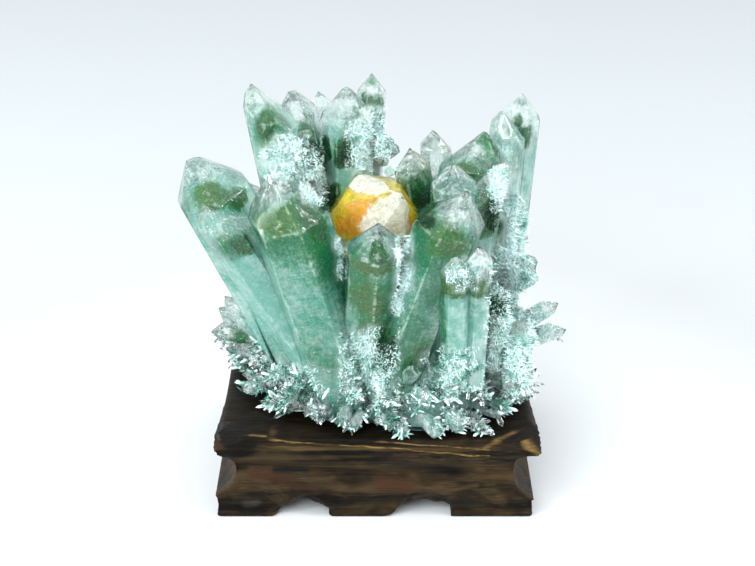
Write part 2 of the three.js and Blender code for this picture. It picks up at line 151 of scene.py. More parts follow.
POINTS: dict[str, Point] = {
    "leftLeaning": Point((-20, -6, 34), (-52, -3, 98), (-61, -1, 113), 23, -14, 3, 10, 0.3, 0.3, 0.6),
    "leftLower": Point((-14, -13, 33), (-49, -15, 94), (-56, -14, 101), 16, 8, 1, 10, 0.3, 0.15, 0.5),
    "frontLeftTall": Point((-8, -17, 32), (-28, -25, 104), (-33, -24, 117), 24, -10, 0, 9, 0.3, 0.68, 0.35),
    "backLeft": Point((-21, 4, 50), (-34, 10, 120), (-41, 12, 132), 16, 12, 0, 6, 0.3, 0.35, 0.6),
    "backLeftInner": Point((-14, 8, 56), (-27, 16, 117), (-29, 20, 128), 17, 25, 2, 12, 0.4, 0.5, 0.6),
    "backLeftSmall": Point((-11, 22, 65), (-19, 32, 116), (-20, 34, 122), 7, 0, 0, 8, 0.3, 0.2, 0.6),
    "backMiddleTip": Point((-5, 12, 54), (-2, 24, 124), (-2, 26, 131), 10, 20, 0, 10, 0.3, 0.4, 0.6),
    "backMiddle": Point((-9, 6, 57), (-10, 17, 118), (-10, 20, 129), 17, 5, 2, 9, 0.2, 0.3, 0.8),
    "amber": Point((-11, 14, 72), (1, -8, 96), (8, -21, 107), 26, 20, 2, 9, 1.0, 0.5, 0.9, Stage.AMBER),
    "frontMiddle": Point((-4, -20, 44), (-1, -31, 92), (0, -34, 103), 17, -24, 0, 5, 0.3, 0.8, 0.3),
    "frontRightTall": Point((0, -20, 32), (21, -27, 97), (28, -28, 111), 22, 14, 0, 8, 0.3, 0.78, 0.35),
    "middleSmall": Point((17, -2, 75), (11, -4, 109), (10, -4, 116), 11, 10, 0, 9, 0.6, 0.8, 0.3),
    "middleClear": Point((20, 8, 67), (19, 12, 110), (18, 12, 116), 11, 30, 0, 14, 0.5, 0.3, 0.5),
    "rightUpper": Point((23, 0, 63), (30, 3, 110), (35, 4, 119), 18, -8, 1, 8, 0.3, 0.45, 0.5),
    "rightMiddle": Point((28, -6, 63), (34, -8, 105), (39, -8, 113), 15, 15, 0, 9, 0.5, 0.55, 0.4),
    "middleWhite": Point((26, -8, 67), (24, -13, 107), (23, -14, 115), 14, 0, 0, 9, 0.2, 0.4, 0.8),
    "rightTall": Point((38, 4, 50), (42, 9, 116), (40, 10, 124), 12, 18, 0, 9, 0.1, 0.25, 0.9),
    "rightTallBack": Point((41, 14, 50), (47, 21, 117), (48, 22, 125), 13, -6, 0, 9, 0.2, 0.35, 0.6),
    "frontTwinLeft": Point((25, -30, 44), (24, -35, 86), (24, -36, 93), 9, 0, 0, 7, 0.2, 0.12, 0.7),
    "frontTwinRight": Point((30, -28, 43), (31, -33, 88), (31, -34, 95), 9, 22, 0, 8, 0.2, 0.15, 0.6),
    "rightShort": Point((37, -20, 46), (38, -25, 71), (38, -26, 78), 9, 5, 0, 6, 0.7, 0.7, 0.5),
    "rightRound": Point((39, -14, 41), (48, -18, 57), (50, -19, 62), 11, 0, 0, 5, 0.3, 0.3, 0.8),
    "rightDown": Point((44, -20, 57), (45, -26, 43), (45, -28, 36), 10, 0, 0, 8, 0.0, 0.1, 0.5),
    "rightTipUpper": Point((34, 0, 41), (57, 2, 56), (61, 2, 58), 6, 0, 0, 8, 0.1, 0.2, 0.7),
    "rightTipLower": Point((34, -2, 40), (58, 0, 48), (64, 0, 49), 6, 10, 0, 8, 0.1, 0.2, 0.7),
    "leftTipUpper": Point((-38, 2, 44), (-48, 5, 55), (-52, 6, 59), 8, 0, 0, 7, 0.2, 0.2, 0.6),
    "leftTipMiddle": Point((-38, 0, 47), (-50, 2, 54), (-54, 2, 56), 7, 0, 0, 7, 0.2, 0.2, 0.5),
    "leftTipLower": Point((-38, 0, 46), (-52, 3, 46), (-57, 4, 46), 7, 15, 0, 8, 0.9, 0.3, 0.4),
    "leftBlunt": Point((-34, 0, 42), (-47, 0, 42), (-51, 0, 41), 7, 0, 0, 6, 0.1, 0.1, 0.5),
    "leftLow": Point((-26, -12, 38), (-39, -12, 35), (-43, -12, 33), 7, 0, 0, 5, 0.1, 0.2, 0.5),
    "leftDown": Point((-26, -18, 39), (-30, -24, 33), (-31, -26, 31), 6, 0, 0, 5, 0.1, 0.2, 0.5),
    "behindLeft": Point((-24, 14, 44), (-42, 33, 79), (-46, 38, 88), 17, 10, 0, 12, 0.8, 0.4, 0.5),
    "behindMiddle": Point((-4, 16, 44), (-10, 36, 92), (-11, 40, 102), 18, 30, 0, 14, 0.8, 0.5, 0.4),
    "behindRight": Point((16, 16, 44), (22, 36, 80), (24, 41, 90), 16, 0, 0, 11, 0.7, 0.6, 0.4),
    "behindFarRight": Point((30, 14, 44), (46, 32, 70), (50, 37, 78), 13, 20, 0, 9, 0.6, 0.3, 0.5),
    "behindFarLeft": Point((-30, 10, 42), (-48, 22, 61), (-53, 26, 67), 12, 5, 0, 8, 0.6, 0.3, 0.5),
    "behindShortLeft": Point((-14, 18, 42), (-22, 37, 56), (-24, 42, 61), 11, 0, 0, 7, 0.5, 0.4, 0.5),
    "behindShortRight": Point((10, 20, 42), (10, 38, 58), (10, 43, 64), 12, 15, 0, 8, 0.5, 0.4, 0.5),
}


@dataclass(frozen=True)
class Cloud:
    """A soft cloud on a point's core.

    Args:
        dust: what it is made of.
        below: how far below the point's tip its middle is, in millimetres along the axis.
        turn: which side it is on, in degrees from the front towards the right.
        length: half its length along the axis, in millimetres.
        spread: half its width round the axis, in degrees.
        strength: how dense it is, from 0 to 1.
    """

    dust: Dust
    below: float
    turn: float
    length: float
    spread: float
    strength: float = 1.0


CLOUDS: dict[str, tuple[Cloud, ...]] = {
    "leftLeaning": (
        Cloud(Dust.OLIVE, 14, 5, 4.0, 40, 0.85),
        Cloud(Dust.MOSS, 18.5, 46, 4.0, 24, 0.8),
        Cloud(Dust.DEEP, 17, -60, 5.2, 31, 0.5),
        Cloud(Dust.DEEP, 80, 40, 18.2, 75, 0.7),
    ),
    "leftLower": (
        Cloud(Dust.MOSS, 16.5, 20, 3.9, 28, 1.0),
        Cloud(Dust.DEEP, 15.5, -18, 5.2, 44, 0.9),
    ),
    "frontLeftTall": (
        Cloud(Dust.MILK, 6, 10, 4.5, 75, 0.5),
        Cloud(Dust.OLIVE, 14.5, -4, 3.6, 60, 0.9),
        Cloud(Dust.DEEP, 17, -14, 8, 75, 0.9),
        Cloud(Dust.MOSS, 19, 48, 7.5, 24, 0.9),
        Cloud(Dust.DEEP, 27, 47, 15.6, 25, 1.0),
        Cloud(Dust.DEEP, 44, 62, 18.2, 28, 0.8),
        Cloud(Dust.OLIVE, 28, 10, 10.4, 50, 0.32),
        Cloud(Dust.DEEP, 66, -5, 9.1, 62, 0.42),
    ),
    "backLeft": (
        Cloud(Dust.MILK, 27, -5, 6, 70, 0.7),
        Cloud(Dust.MOSS, 13.5, -12, 5.9, 28, 1.0),
        Cloud(Dust.DEEP, 14.5, 28, 7.8, 38, 0.75),
        Cloud(Dust.DEEP, 20, -35, 6.5, 31, 0.6),
    ),
    "backLeftInner": (
        Cloud(Dust.MOSS, 19, 25, 6.5, 38, 1.0),
        Cloud(Dust.MOSS, 28, 32, 7.8, 38, 1.0),
        Cloud(Dust.MOSS, 38, 45, 9.1, 38, 1.0),
        Cloud(Dust.DEEP, 16, -20, 6.5, 50, 0.6),
    ),
    "backMiddle": (
        Cloud(Dust.MOSS, 17, 6, 4.5, 20, 1.0),
        Cloud(Dust.MOSS, 14.5, 24, 3.9, 20, 1.0),
        Cloud(Dust.MOSS, 12, 40, 4.5, 20, 1.0),
        Cloud(Dust.MOSS, 23, -8, 3.2, 18, 0.7),
        Cloud(Dust.DEEP, 9, -42, 3.9, 25, 0.4),
    ),
    "backMiddleTip": (
        Cloud(Dust.MOSS, 12, 9, 4.5, 75, 0.9),
        Cloud(Dust.DEEP, 1.5, 0, 3.9, 180, 0.6),
    ),
    "amber": (
        Cloud(Dust.MILK, 9, 14, 9, 50, 1.2),
        Cloud(Dust.MILK, 11, -120, 9, 40, 0.8),
        Cloud(Dust.ORANGE, 18, -38, 7, 32, 1.1),
        Cloud(Dust.ORANGE, 13, 66, 6, 20, 1.2),
        Cloud(Dust.ORANGE, 28, -60, 4, 30, 0.7),
    ),
    "frontMiddle": (
        Cloud(Dust.MOSS, 9, 12, 3.1, 28, 0.9),
        Cloud(Dust.MILK, 11.2, -24, 1.1, 12, 0.75),
        Cloud(Dust.MILK, 12.3, 6, 0.8, 9, 0.6),
        Cloud(Dust.OLIVE, 14, 0, 2.9, 60, 1.0),
        Cloud(Dust.DEEP, 20, -50, 11, 42, 1.3),
        Cloud(Dust.OLIVE, 27, -5, 9.1, 52, 0.85),
        Cloud(Dust.DEEP, 25, 30, 10.4, 38, 0.7),
        Cloud(Dust.MOSS, 37, 10, 5.2, 50, 0.6),
    ),
    "frontRightTall": (
        Cloud(Dust.MILK, 6, 25, 5, 75, 0.55),
        Cloud(Dust.OLIVE, 14.5, 2, 6.5, 42, 0.75),
        Cloud(Dust.DEEP, 18, -26, 9.1, 42, 0.9),
        Cloud(Dust.DEEP, 17, 40, 6.5, 25, 0.6),
        Cloud(Dust.DEEP, 32, 20, 11.7, 50, 0.5),
        Cloud(Dust.DEEP, 52, -15, 13, 56, 0.6),
        Cloud(Dust.MOSS, 60, 30, 11.7, 31, 0.6),
    ),
    "middleSmall": (Cloud(Dust.MOSS, 19, 15, 10.4, 112, 1.0),),
    "rightUpper": (
        Cloud(Dust.DEEP, 8, 74, 9.1, 35, 1.0),
        Cloud(Dust.MOSS, 6, 82, 3.9, 22, 0.9),
        Cloud(Dust.OLIVE, 13, -10, 3.2, 50, 0.6),
    ),
    "rightMiddle": (
        Cloud(Dust.OLIVE, 14.5, 48, 4.2, 45, 1.0),
        Cloud(Dust.MOSS, 20, 17, 4.5, 24, 1.0),
        Cloud(Dust.DEEP, 14, -20, 6.5, 50, 0.6),
    ),
    "rightTall": (
        Cloud(Dust.MOSS, 8, 2.5, 2.1, 15, 1.0),
        Cloud(Dust.DEEP, 18, 46, 5.2, 22, 0.8),
        Cloud(Dust.DEEP, 47, -10, 10.4, 62, 0.7),
        Cloud(Dust.MILK, 28, 0, 18.2, 100, 0.5),
    ),
    "rightTallBack": (
        Cloud(Dust.MOSS, 8.5, -17, 2.9, 18, 0.9),
        Cloud(Dust.MOSS, 13.5, 15, 3.9, 25, 1.0),
    ),
    "frontTwinLeft": (
        Cloud(Dust.MILK, 5, 0, 5.2, 180, 0.4),
        Cloud(Dust.OLIVE, 11.3, 0, 2.2, 180, 1.0),
        Cloud(Dust.DEEP, 31, -87, 20.8, 45, 0.9),
    ),
    "frontTwinRight": (
        Cloud(Dust.MILK, 6, 0, 5.2, 180, 0.6),
        Cloud(Dust.OLIVE, 13.5, 0, 2.1, 180, 0.9),
    ),
    "rightShort": (Cloud(Dust.MOSS, 14, 0, 10.4, 75, 0.9),),
}


@dataclass(frozen=True)
class Grown:
    """A point's planes, worked out. Lengths are in millimetres.

    Args:
        name: what the point is called.
        point: its sizes.
        start: its foot.
        axis: the way it grows.
        front: across the axis, as squarely to the front as can be.
        side: across the axis, to the right.
        faces: outward normals and reaches of its prism faces.
        ends: outward normals and insets of its end faces.
    """

    name: str
    point: Point
    start: Vector
    axis: Vector
    front: Vector
    side: Vector
    faces: tuple[tuple[Vector, float], ...]
    ends: tuple[tuple[Vector, float], ...]

    def planes(self) -> list[tuple[Vector, float]]:
        """Returns all the planes that bound the point, as normals and distances from the origin."""
        tip = Vector(self.point.tip)
        sides = [(normal, normal.dot(self.start) + reach) for normal, reach in self.faces]
        ends = [(normal, normal.dot(tip) - inset) for normal, inset in self.ends]
        level = [(Vector((0, 0, 1)), tip.z - self.point.blunt)] if self.point.blunt else []
        return sides + ends + level


@dataclass
class SeededRandom:
    """Random numbers that come out the same on every run, as in the part's own source."""

    state: int
    factor: int = 16807
    modulus: int = 2147483647

    def __call__(self) -> float:
        """Returns the next number, between 0 and 1."""
        self.state = self.state * self.factor % self.modulus
        return self.state / self.modulus

    def between(self, low: float, high: float) -> float:
        """Returns the next number, between two others."""
        return low + (high - low) * self()

    def stray(self) -> float:
        """Returns the next number, between -1 and 1."""
        return 2 * self() - 1


@dataclass(frozen=True)
class Ring:
    """A ring of little points around the rock. Lengths are in millimetres, angles in degrees."""

    count: int
    outward: float
    foot_height: float
    steepness: float
    length: tuple[float, float]
    width: tuple[float, float] = (4, 6)


@dataclass(frozen=True)
class Bank:
    """A bank of little points on the sides of the big ones, in millimetres."""

    middle: Triple
    half_size: Triple
    facing: Triple
    count: int


@dataclass
class Growth:
    """Works out the planes of every point, big and little, in the source's order.

    Args:
        slope: angle of the end faces to the axis, in degrees.
        face_variation: how much a prism face may stand further in, as a share of its reach.
        tip_variation: how much an end face may stand further in, as a share of the width.
        sides: prism faces of a point.
        rock_middle: middle of the rock, in millimetres.
        rock_half: half the size of the rock, in millimetres.
        skew: how much the rock bulges towards two corners.
        turn_stray: how far a little point may stand from its even place in a ring, as a share of the step.
        height_stray: how much the height of the feet varies, in millimetres.
        lift_stray: how much their steepness varies, in degrees.
        heading_stray: how much their heading varies, in radians.
        bank_stray: how much the directions in a bank vary.
        bank_length: the shortest and longest in a bank, in millimetres.
        bank_width: the thinnest and thickest in a bank, in millimetres.
        rings: the rings of little points around the base.
        banks: the banks of little points on the big ones.
        random: where the variation comes from.
    """

    slope: float = 38.2
    face_variation: float = 0.16
    tip_variation: float = 0.06
    sides: int = 6
    rock_middle: Triple = (2, 0, 32)
    rock_half: Triple = (44, 34, 36)
    skew: float = 0.13
    turn_stray: float = 0.7
    height_stray: float = 4.0
    lift_stray: float = 24.0
    heading_stray: float = 0.5
    bank_stray: float = 0.4
    bank_length: tuple[float, float] = (7.0, 11.0)
    bank_width: tuple[float, float] = (4.0, 5.5)
    rings: tuple[Ring, ...] = (
        Ring(38, 0.84, 34, -4, (11, 15)),
        Ring(26, 0.84, 40, 14, (9, 14)),
        Ring(16, 0.76, 45, 36, (10, 14)),
    )
    banks: tuple[Bank, ...] = (
        Bank((-26, 3, 101), (6, 3, 7), (0.1, -0.6, 0.8), 7),
        Bank((1, 17, 104), (3, 3, 9), (0.4, -0.5, 0.8), 5),
        Bank((43, 2, 60), (3, 5, 12), (0.8, -0.5, 0.4), 9),
        Bank((2, -20, 56), (4, 4, 8), (0.1, -0.9, 0.4), 4),
    )
    random: SeededRandom = field(default_factory=lambda: SeededRandom(state=4107))

    def grow(self) -> tuple[list[Grown], list[Grown]]:
        """Returns the big points and the little ones."""
        big = [self.planes(name, point) for name, point in POINTS.items()]
        return big, [*self.skirt(), *self.on_banks()]

    def planes(self, name: str, point: Point, ends: int = 6) -> Grown:
        """Works out one point's planes.

        Args:
            name: what the point is called.
            point: its sizes.
            ends: how many end faces it has.

        Returns:
            The point with its planes.
        """
        start = Vector(point.foot)
        axis = (Vector(point.crown) - start).normalized()
        forward = Vector((0, -1, 0))
        front = (forward - axis * forward.dot(axis)).normalized()
        side = axis.cross(front)
        slope = math.radians(self.slope)
        faces: list[tuple[Vector, float]] = []
        tips: list[tuple[Vector, float]] = []
        for face in range(self.sides):
            angle = math.radians(point.roll + face * 360 / self.sides)
            outward = front * math.cos(angle) + side * math.sin(angle)
            faces.append((outward, point.width / 2 * (1 - self.face_variation * self.random())))
            inset = point.width * self.tip_variation * self.random()
            if face % (self.sides // ends) == 0:
                tips.append((axis * math.sin(slope) + outward * math.cos(slope), inset))
        return Grown(name, point, start, axis, front, side, tuple(faces), tuple(tips))

    def little(self, foot: Triple, facing: Vector, length: float, width: float) -> Grown:
        """Works out a little point that stands on a foot and faces one way.

        Args:
            foot: where it stands.
            facing: the way it grows.
            length: its length.
            width: its width.

        Returns:
            The point with its planes.
        """
        start = Vector(foot)
        crown = start + facing * (length / 2)
        tip = start + facing * length
        point = Point(foot, tuple(crown), tuple(tip), width, 60 * self.random(), clear=4)
        return self.planes("little", point, ends=3)

    def skirt(self) -> list[Grown]:
        """Returns the little points that lean out all around the base."""
        points: list[Grown] = []
        for ring in self.rings:
            for index in range(ring.count):
                turn = (index + self.turn_stray * self.random()) / ring.count * math.tau
                outward = ring.outward * (1 - self.skew * math.sin(2 * turn))
                foot = (
                    self.rock_middle[0] + outward * self.rock_half[0] * math.cos(turn),
                    self.rock_middle[1] + outward * self.rock_half[1] * math.sin(turn),
                    ring.foot_height + self.height_stray * (self.random() - 0.5),
                )
                lift = math.radians(ring.steepness + self.lift_stray * (self.random() - 0.5))
                heading = turn + self.heading_stray * (self.random() - 0.5)
                level = math.cos(lift)
                facing = Vector((level * math.cos(heading), level * math.sin(heading), math.sin(lift)))
                length = self.random.between(*ring.length)
                points.append(self.little(foot, facing, length, self.random.between(*ring.width)))
        return points

    def on_banks(self) -> list[Grown]:
        """Returns the little points that grew in banks on the sides of the big ones."""
        points: list[Grown] = []
        for bank in self.banks:
            for _ in range(bank.count):
                foot = tuple(middle + half * self.random.stray()
                             for middle, half in zip(bank.middle, bank.half_size))
                facing = Vector([value + self.bank_stray * self.random.stray() for value in bank.facing])
                length = self.random.between(*self.bank_length)
                width = self.random.between(*self.bank_width)
                points.append(self.little(foot, facing.normalized(), length, width))
        return points


# Helpers for modelling


def select_only(obj: bpy.types.Object) -> None:
    """Makes one object the only one selected, and the active one."""
    bpy.ops.object.select_all(action="DESELECT")
    obj.select_set(True)
    bpy.context.view_layer.objects.active = obj


def apply_modifier(obj: bpy.types.Object, name: str, kind: str, **settings: object) -> None:
    """Adds a modifier to an object and applies it.

    Args:
        obj: the object.
        name: the modifier's name.
        kind: the modifier's type.
        settings: its values by name.
    """
    modifier = obj.modifiers.new(name, kind)
    for key, value in settings.items():
        setattr(modifier, key, value)
    select_only(obj)
    bpy.ops.object.modifier_apply(modifier=name)


def copy_of_node(node: str, name: str) -> bpy.types.Object:
    """Copies a node of the frame as a new piece, with its loose triangles merged.

    Args:
        node: the node's name.
        name: the new piece's name.

    Returns:
        The new piece.
    """
    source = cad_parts[node]
    piece = bpy.data.objects.new(name, source.data.copy())
    piece.data.name = name
    bpy.context.scene.collection.objects.link(piece)
    piece.data.materials.clear()
    select_only(piece)
    bpy.ops.object.mode_set(mode="EDIT")
    bpy.ops.mesh.select_all(action="SELECT")
    bpy.ops.mesh.remove_doubles(threshold=1e-6)
    bpy.ops.object.mode_set(mode="OBJECT")
    return piece


def get_places(mesh: bpy.types.Mesh) -> np.ndarray:
    """Returns a mesh's vertices, one row each."""
    places = np.empty(len(mesh.vertices) * 3, dtype=np.float32)
    mesh.vertices.foreach_get("co", places)
    return places.reshape(-1, 3).astype(float)


def get_normals(mesh: bpy.types.Mesh) -> np.ndarray:
    """Returns a mesh's vertex normals, one row each."""
    normals = np.empty(len(mesh.vertices) * 3, dtype=np.float32)
    mesh.vertex_normals.foreach_get("vector", normals)
    return normals.reshape(-1, 3).astype(float)


def set_places(mesh: bpy.types.Mesh, places: np.ndarray) -> None:
    """Moves a mesh's vertices."""
    mesh.vertices.foreach_set("co", places.astype(np.float32).ravel())
    mesh.update()


def set_values(mesh: bpy.types.Mesh, name: str, values: np.ndarray, domain: str = "POINT") -> None:
    """Stores one number or one triple per vertex, corner or face.

    Args:
        mesh: the mesh.
        name: the attribute's name.
        values: the numbers, or rows of three.
        domain: what each belongs to.
    """
    triple = values.ndim == 2
    layer = mesh.attributes.new(name, "FLOAT_VECTOR" if triple else "FLOAT", domain)
    layer.data.foreach_set("vector" if triple else "value", values.astype(np.float32).ravel())


def noise_at(places: np.ndarray, scale: float, shift: float = 0.0) -> np.ndarray:
    """Returns smooth noise, roughly from -1 to 1, at each place.

    Args:
        places: the places, one row each.
        scale: waves in a unit of length.
        shift: where in the noise to start.
    """
    offset = Vector((shift, 2.7 * shift, -1.3 * shift))
    return np.array([noise.noise(Vector(place) * scale + offset) for place in places])


def layered_noise(places: np.ndarray, layers: Iterable[Triple]) -> np.ndarray:
    """Adds up layers of noise at each place.

    Args:
        places: the places, one row each.
        layers: each layer's strength, its waves in a unit of length and where it starts.
    """
    return sum(strength * noise_at(places, scale, shift) for strength, scale, shift in layers)


@dataclass
class JoinedMesh:
    """Collects the vertices, faces and values of many shapes, and makes one mesh of them."""

    places: list[np.ndarray] = field(default_factory=list)
    faces: Faces = field(default_factory=list)
    values: dict[str, list[np.ndarray]] = field(default_factory=dict)
    count: int = 0

    def add(self, places: np.ndarray, faces: Iterable[Iterable[int]],
            values: dict[str, np.ndarray]) -> None:
        """Adds one shape.

        Args:
            places: its vertices, one row each.
            faces: its faces, as vertex numbers.
            values: one number per vertex, by attribute name.
        """
        self.places.append(places)
        self.faces.extend([number + self.count for number in face] for face in faces)
        for name, numbers in values.items():
            self.values.setdefault(name, []).append(numbers)
        self.count += len(places)

    def make(self, name: str) -> bpy.types.Object:
        """Makes the piece and returns it.

        Args:
            name: the piece's name.
        """
        mesh = bpy.data.meshes.new(name)
        mesh.from_pydata(np.concatenate(self.places).tolist(), [], self.faces)
        for key, numbers in self.values.items():
            set_values(mesh, key, np.concatenate(numbers))
        mesh.update()
        piece = bpy.data.objects.new(name, mesh)
        bpy.context.scene.collection.objects.link(piece)
        return piece


def take_mesh(obj: bpy.types.Object) -> tuple[np.ndarray, Faces]:
    """Reads an object's vertices and faces and removes the object.

    Args:
        obj: the object, unturned and unscaled at the origin.

    Returns:
        The vertices, one row each, and the faces as vertex numbers.
    """
    mesh = obj.data
    places = get_places(mesh)
    faces = [list(polygon.vertices) for polygon in mesh.polygons]
    bpy.data.objects.remove(obj)
    bpy.data.meshes.remove(mesh)
    return places, faces


# Helpers for materials


@dataclass(frozen=True)
class Signal:
    """A node's output. Signals and numbers can be added, subtracted and multiplied.

    Args:
        nodes: what adds nodes to its tree.
        socket: the output itself.
    """

    nodes: "Nodes"
    socket: bpy.types.NodeSocket

    def __add__(self, other: object) -> "Signal":
        """Returns the sum."""
        return self.nodes.math("ADD", self, other)

    def __sub__(self, other: object) -> "Signal":
        """Returns the difference."""
        return self.nodes.math("SUBTRACT", self, other)

    def __mul__(self, other: object) -> "Signal":
        """Returns the product."""
        return self.nodes.math("MULTIPLY", self, other)

    def __abs__(self) -> "Signal":
        """Returns the value without its sign."""
        return self.nodes.math("ABSOLUTE", self)

    __radd__ = __add__


@dataclass
class Nodes:
    """Adds nodes to one node tree, and joins them."""

    tree: bpy.types.NodeTree

    def connect(self, value: object, target: bpy.types.NodeSocket) -> None:
        """Joins an output to an input, or gives the input a value.

        Args:
            value: a signal, a socket, a number, a colour or another value.
            target: the input.
        """
        source = value.socket if isinstance(value, Signal) else value
        if isinstance(source, bpy.types.NodeSocket):
            self.tree.links.new(source, target)
        elif target.type == "RGBA" and len(source) == 3:
            target.default_value = (*source, 1.0)
        else:
            target.default_value = source

    def add(self, kind: str, inputs: dict[str | int, object] | None = None,
            **settings: object) -> bpy.types.Node:
        """Adds a node.

        Args:
            kind: the node's type.
            inputs: a value or an output for each input, by name or number.
            settings: the node's own settings.

        Returns:
            The new node.
        """
        new = self.tree.nodes.new(kind)
        for key, value in settings.items():
            setattr(new, key, value)
        for key, value in (inputs or {}).items():
            self.connect(value, new.inputs[key])
        return new

    def signal(self, kind: str, output: str | int = 0,
               inputs: dict[str | int, object] | None = None, **settings: object) -> Signal:
        """Adds a node and returns one of its outputs.

        Args:
            kind: the node's type.
            output: the output's name or number.
            inputs: a value or an output for each input, by name or number.
            settings: the node's own settings.
        """
        return Signal(self, self.add(kind, inputs, **settings).outputs[output])

    def math(self, operation: str, *values: object) -> Signal:
        """Adds a Math node and returns its output.

        Args:
            operation: what it works out.
            values: numbers or outputs.
        """
        return self.signal("ShaderNodeMath", 0, dict(enumerate(values)), operation=operation)

    def most(self, first: object, second: object) -> Signal:
        """Returns the larger of two values."""
        return self.math("MAXIMUM", first, second)

    def least(self, first: object, second: object) -> Signal:
        """Returns the smaller of two values."""
        return self.math("MINIMUM", first, second)

    def ramp(self, value: object, low: float, high: float,
             start: float = 0.0, end: float = 1.0) -> Signal:
        """Maps a value from low..high to start..end with eased ends.

        Args:
            value: the value.
            low: what becomes the start.
            high: what becomes the end.
            start: the output at low.
            end: the output at high.
        """
        inputs = {"Value": value, "From Min": low, "From Max": high, "To Min": start, "To Max": end}
        return self.signal("ShaderNodeMapRange", 0, inputs, interpolation_type="SMOOTHSTEP")

    def mix(self, factor: object, first: object, second: object) -> Signal:
        """Mixes two colours.

        Args:
            factor: how much of the second.
            first: one colour.
            second: the other colour.
        """
        inputs = {0: factor, 6: first, 7: second}
        return self.signal("ShaderNodeMix", 2, inputs, data_type="RGBA", clamp_factor=True)

    def noise(self, place: object, scale: float, detail: float = 2.0, rough: float = 0.5) -> Signal:
        """Adds a noise texture and returns its value.

        Args:
            place: the coordinates.
            scale: waves in a unit of length.
            detail: how many finer layers it has.
            rough: how strong the finer layers are.
        """
        inputs = {"Vector": place, "Scale": scale, "Detail": detail, "Roughness": rough}
        return self.signal("ShaderNodeTexNoise", "Fac", inputs)

    def swing(self, place: object, scale: float, detail: float = 2.0, rough: float = 0.5) -> Signal:
        """Returns the same noise around zero."""
        return self.noise(place, scale, detail, rough) - 0.5

    def number(self, name: str) -> Signal:
        """Returns a mesh attribute's number."""
        return self.signal("ShaderNodeAttribute", "Fac", attribute_name=name)

    def triple(self, name: str, scale: Triple = (1, 1, 1)) -> Signal:
        """Returns a mesh attribute's three numbers, each multiplied."""
        values = self.signal("ShaderNodeAttribute", "Vector", attribute_name=name)
        return self.signal("ShaderNodeMapping", 0, {"Vector": values, "Scale": scale})

    def place(self, scale: Triple = (1, 1, 1)) -> Signal:
        """Returns object coordinates, each multiplied."""
        coordinates = self.signal("ShaderNodeTexCoord", "Object")
        return self.signal("ShaderNodeMapping", 0, {"Vector": coordinates, "Scale": scale})

    def bump(self, height: object, strength: float, distance: float) -> Signal:
        """Adds a Bump node and returns its normal.

        Args:
            height: the height.
            strength: how strong it is.
            distance: how high it is, in metres.
        """
        inputs = {"Strength": strength, "Distance": distance, "Height": height}
        return self.signal("ShaderNodeBump", 0, inputs)


@dataclass
class Finish:
    """A material that holds its Principled shader and output."""

    name: str
    material: bpy.types.Material = field(init=False)
    nodes: Nodes = field(init=False)
    shader: bpy.types.Node = field(init=False)
    output: bpy.types.Node = field(init=False)

    def __post_init__(self) -> None:
        """Makes the material."""
        self.material = bpy.data.materials.new(self.name)
        self.material.use_nodes = True
        self.material.node_tree.nodes.clear()
        self.nodes = Nodes(self.material.node_tree)
        self.shader = self.nodes.add("ShaderNodeBsdfPrincipled")
        self.output = self.nodes.add("ShaderNodeOutputMaterial")
        self.nodes.connect(self.shader.outputs[0], self.output.inputs["Surface"])

    def set(self, **values: object) -> None:
        """Sets the shader's inputs.

        Args:
            values: numbers, colours or outputs, by input name with underscores for spaces.
        """
        for key, value in values.items():
            self.nodes.connect(value, self.shader.inputs[key.replace("_", " ")])


def cloud_group() -> bpy.types.NodeTree:
    """Builds the group that makes ragged clouds, for dust, frost and stains.

    Returns:
        The group, with inputs for its place, size and threshold.
    """
    name = "ragged clouds"
    if name in bpy.data.node_groups:
        return bpy.data.node_groups[name]
    group = bpy.data.node_groups.new(name, "ShaderNodeTree")
    face = group.interface
    face.new_socket("Place", in_out="INPUT", socket_type="NodeSocketVector")
    for socket in ("Scale", "Low", "High"):
        face.new_socket(socket, in_out="INPUT", socket_type="NodeSocketFloat")
    face.new_socket("Mask", in_out="OUTPUT", socket_type="NodeSocketFloat")
    nodes = Nodes(group)
    inside = nodes.add("NodeGroupInput").outputs
    place, scale, low, high = (Signal(nodes, inside[key]) for key in ("Place", "Scale", "Low", "High"))
    broad = nodes.noise(place, scale, 4.0, 0.65)
    grain = nodes.noise(place, scale * 4.3, 3.0, 0.6)
    mask = nodes.ramp(broad * 0.7 + grain * 0.3, low, high)
    nodes.add("NodeGroupOutput", {"Mask": mask})
    return group


def clouds(nodes: Nodes, place: object, scale: float, low: float, high: float) -> Signal:
    """Places the ragged clouds in a material and returns their mask.

    Args:
        nodes: the material's nodes.
        place: the coordinates.
        scale: clouds in a unit of length.
        low: the noise level where a cloud starts.
        high: the noise level where it is full.
    """
    inputs = {"Place": place, "Scale": scale, "Low": low, "High": high}
    return nodes.signal("ShaderNodeGroup", "Mask", inputs, node_tree=cloud_group())


# The finishes


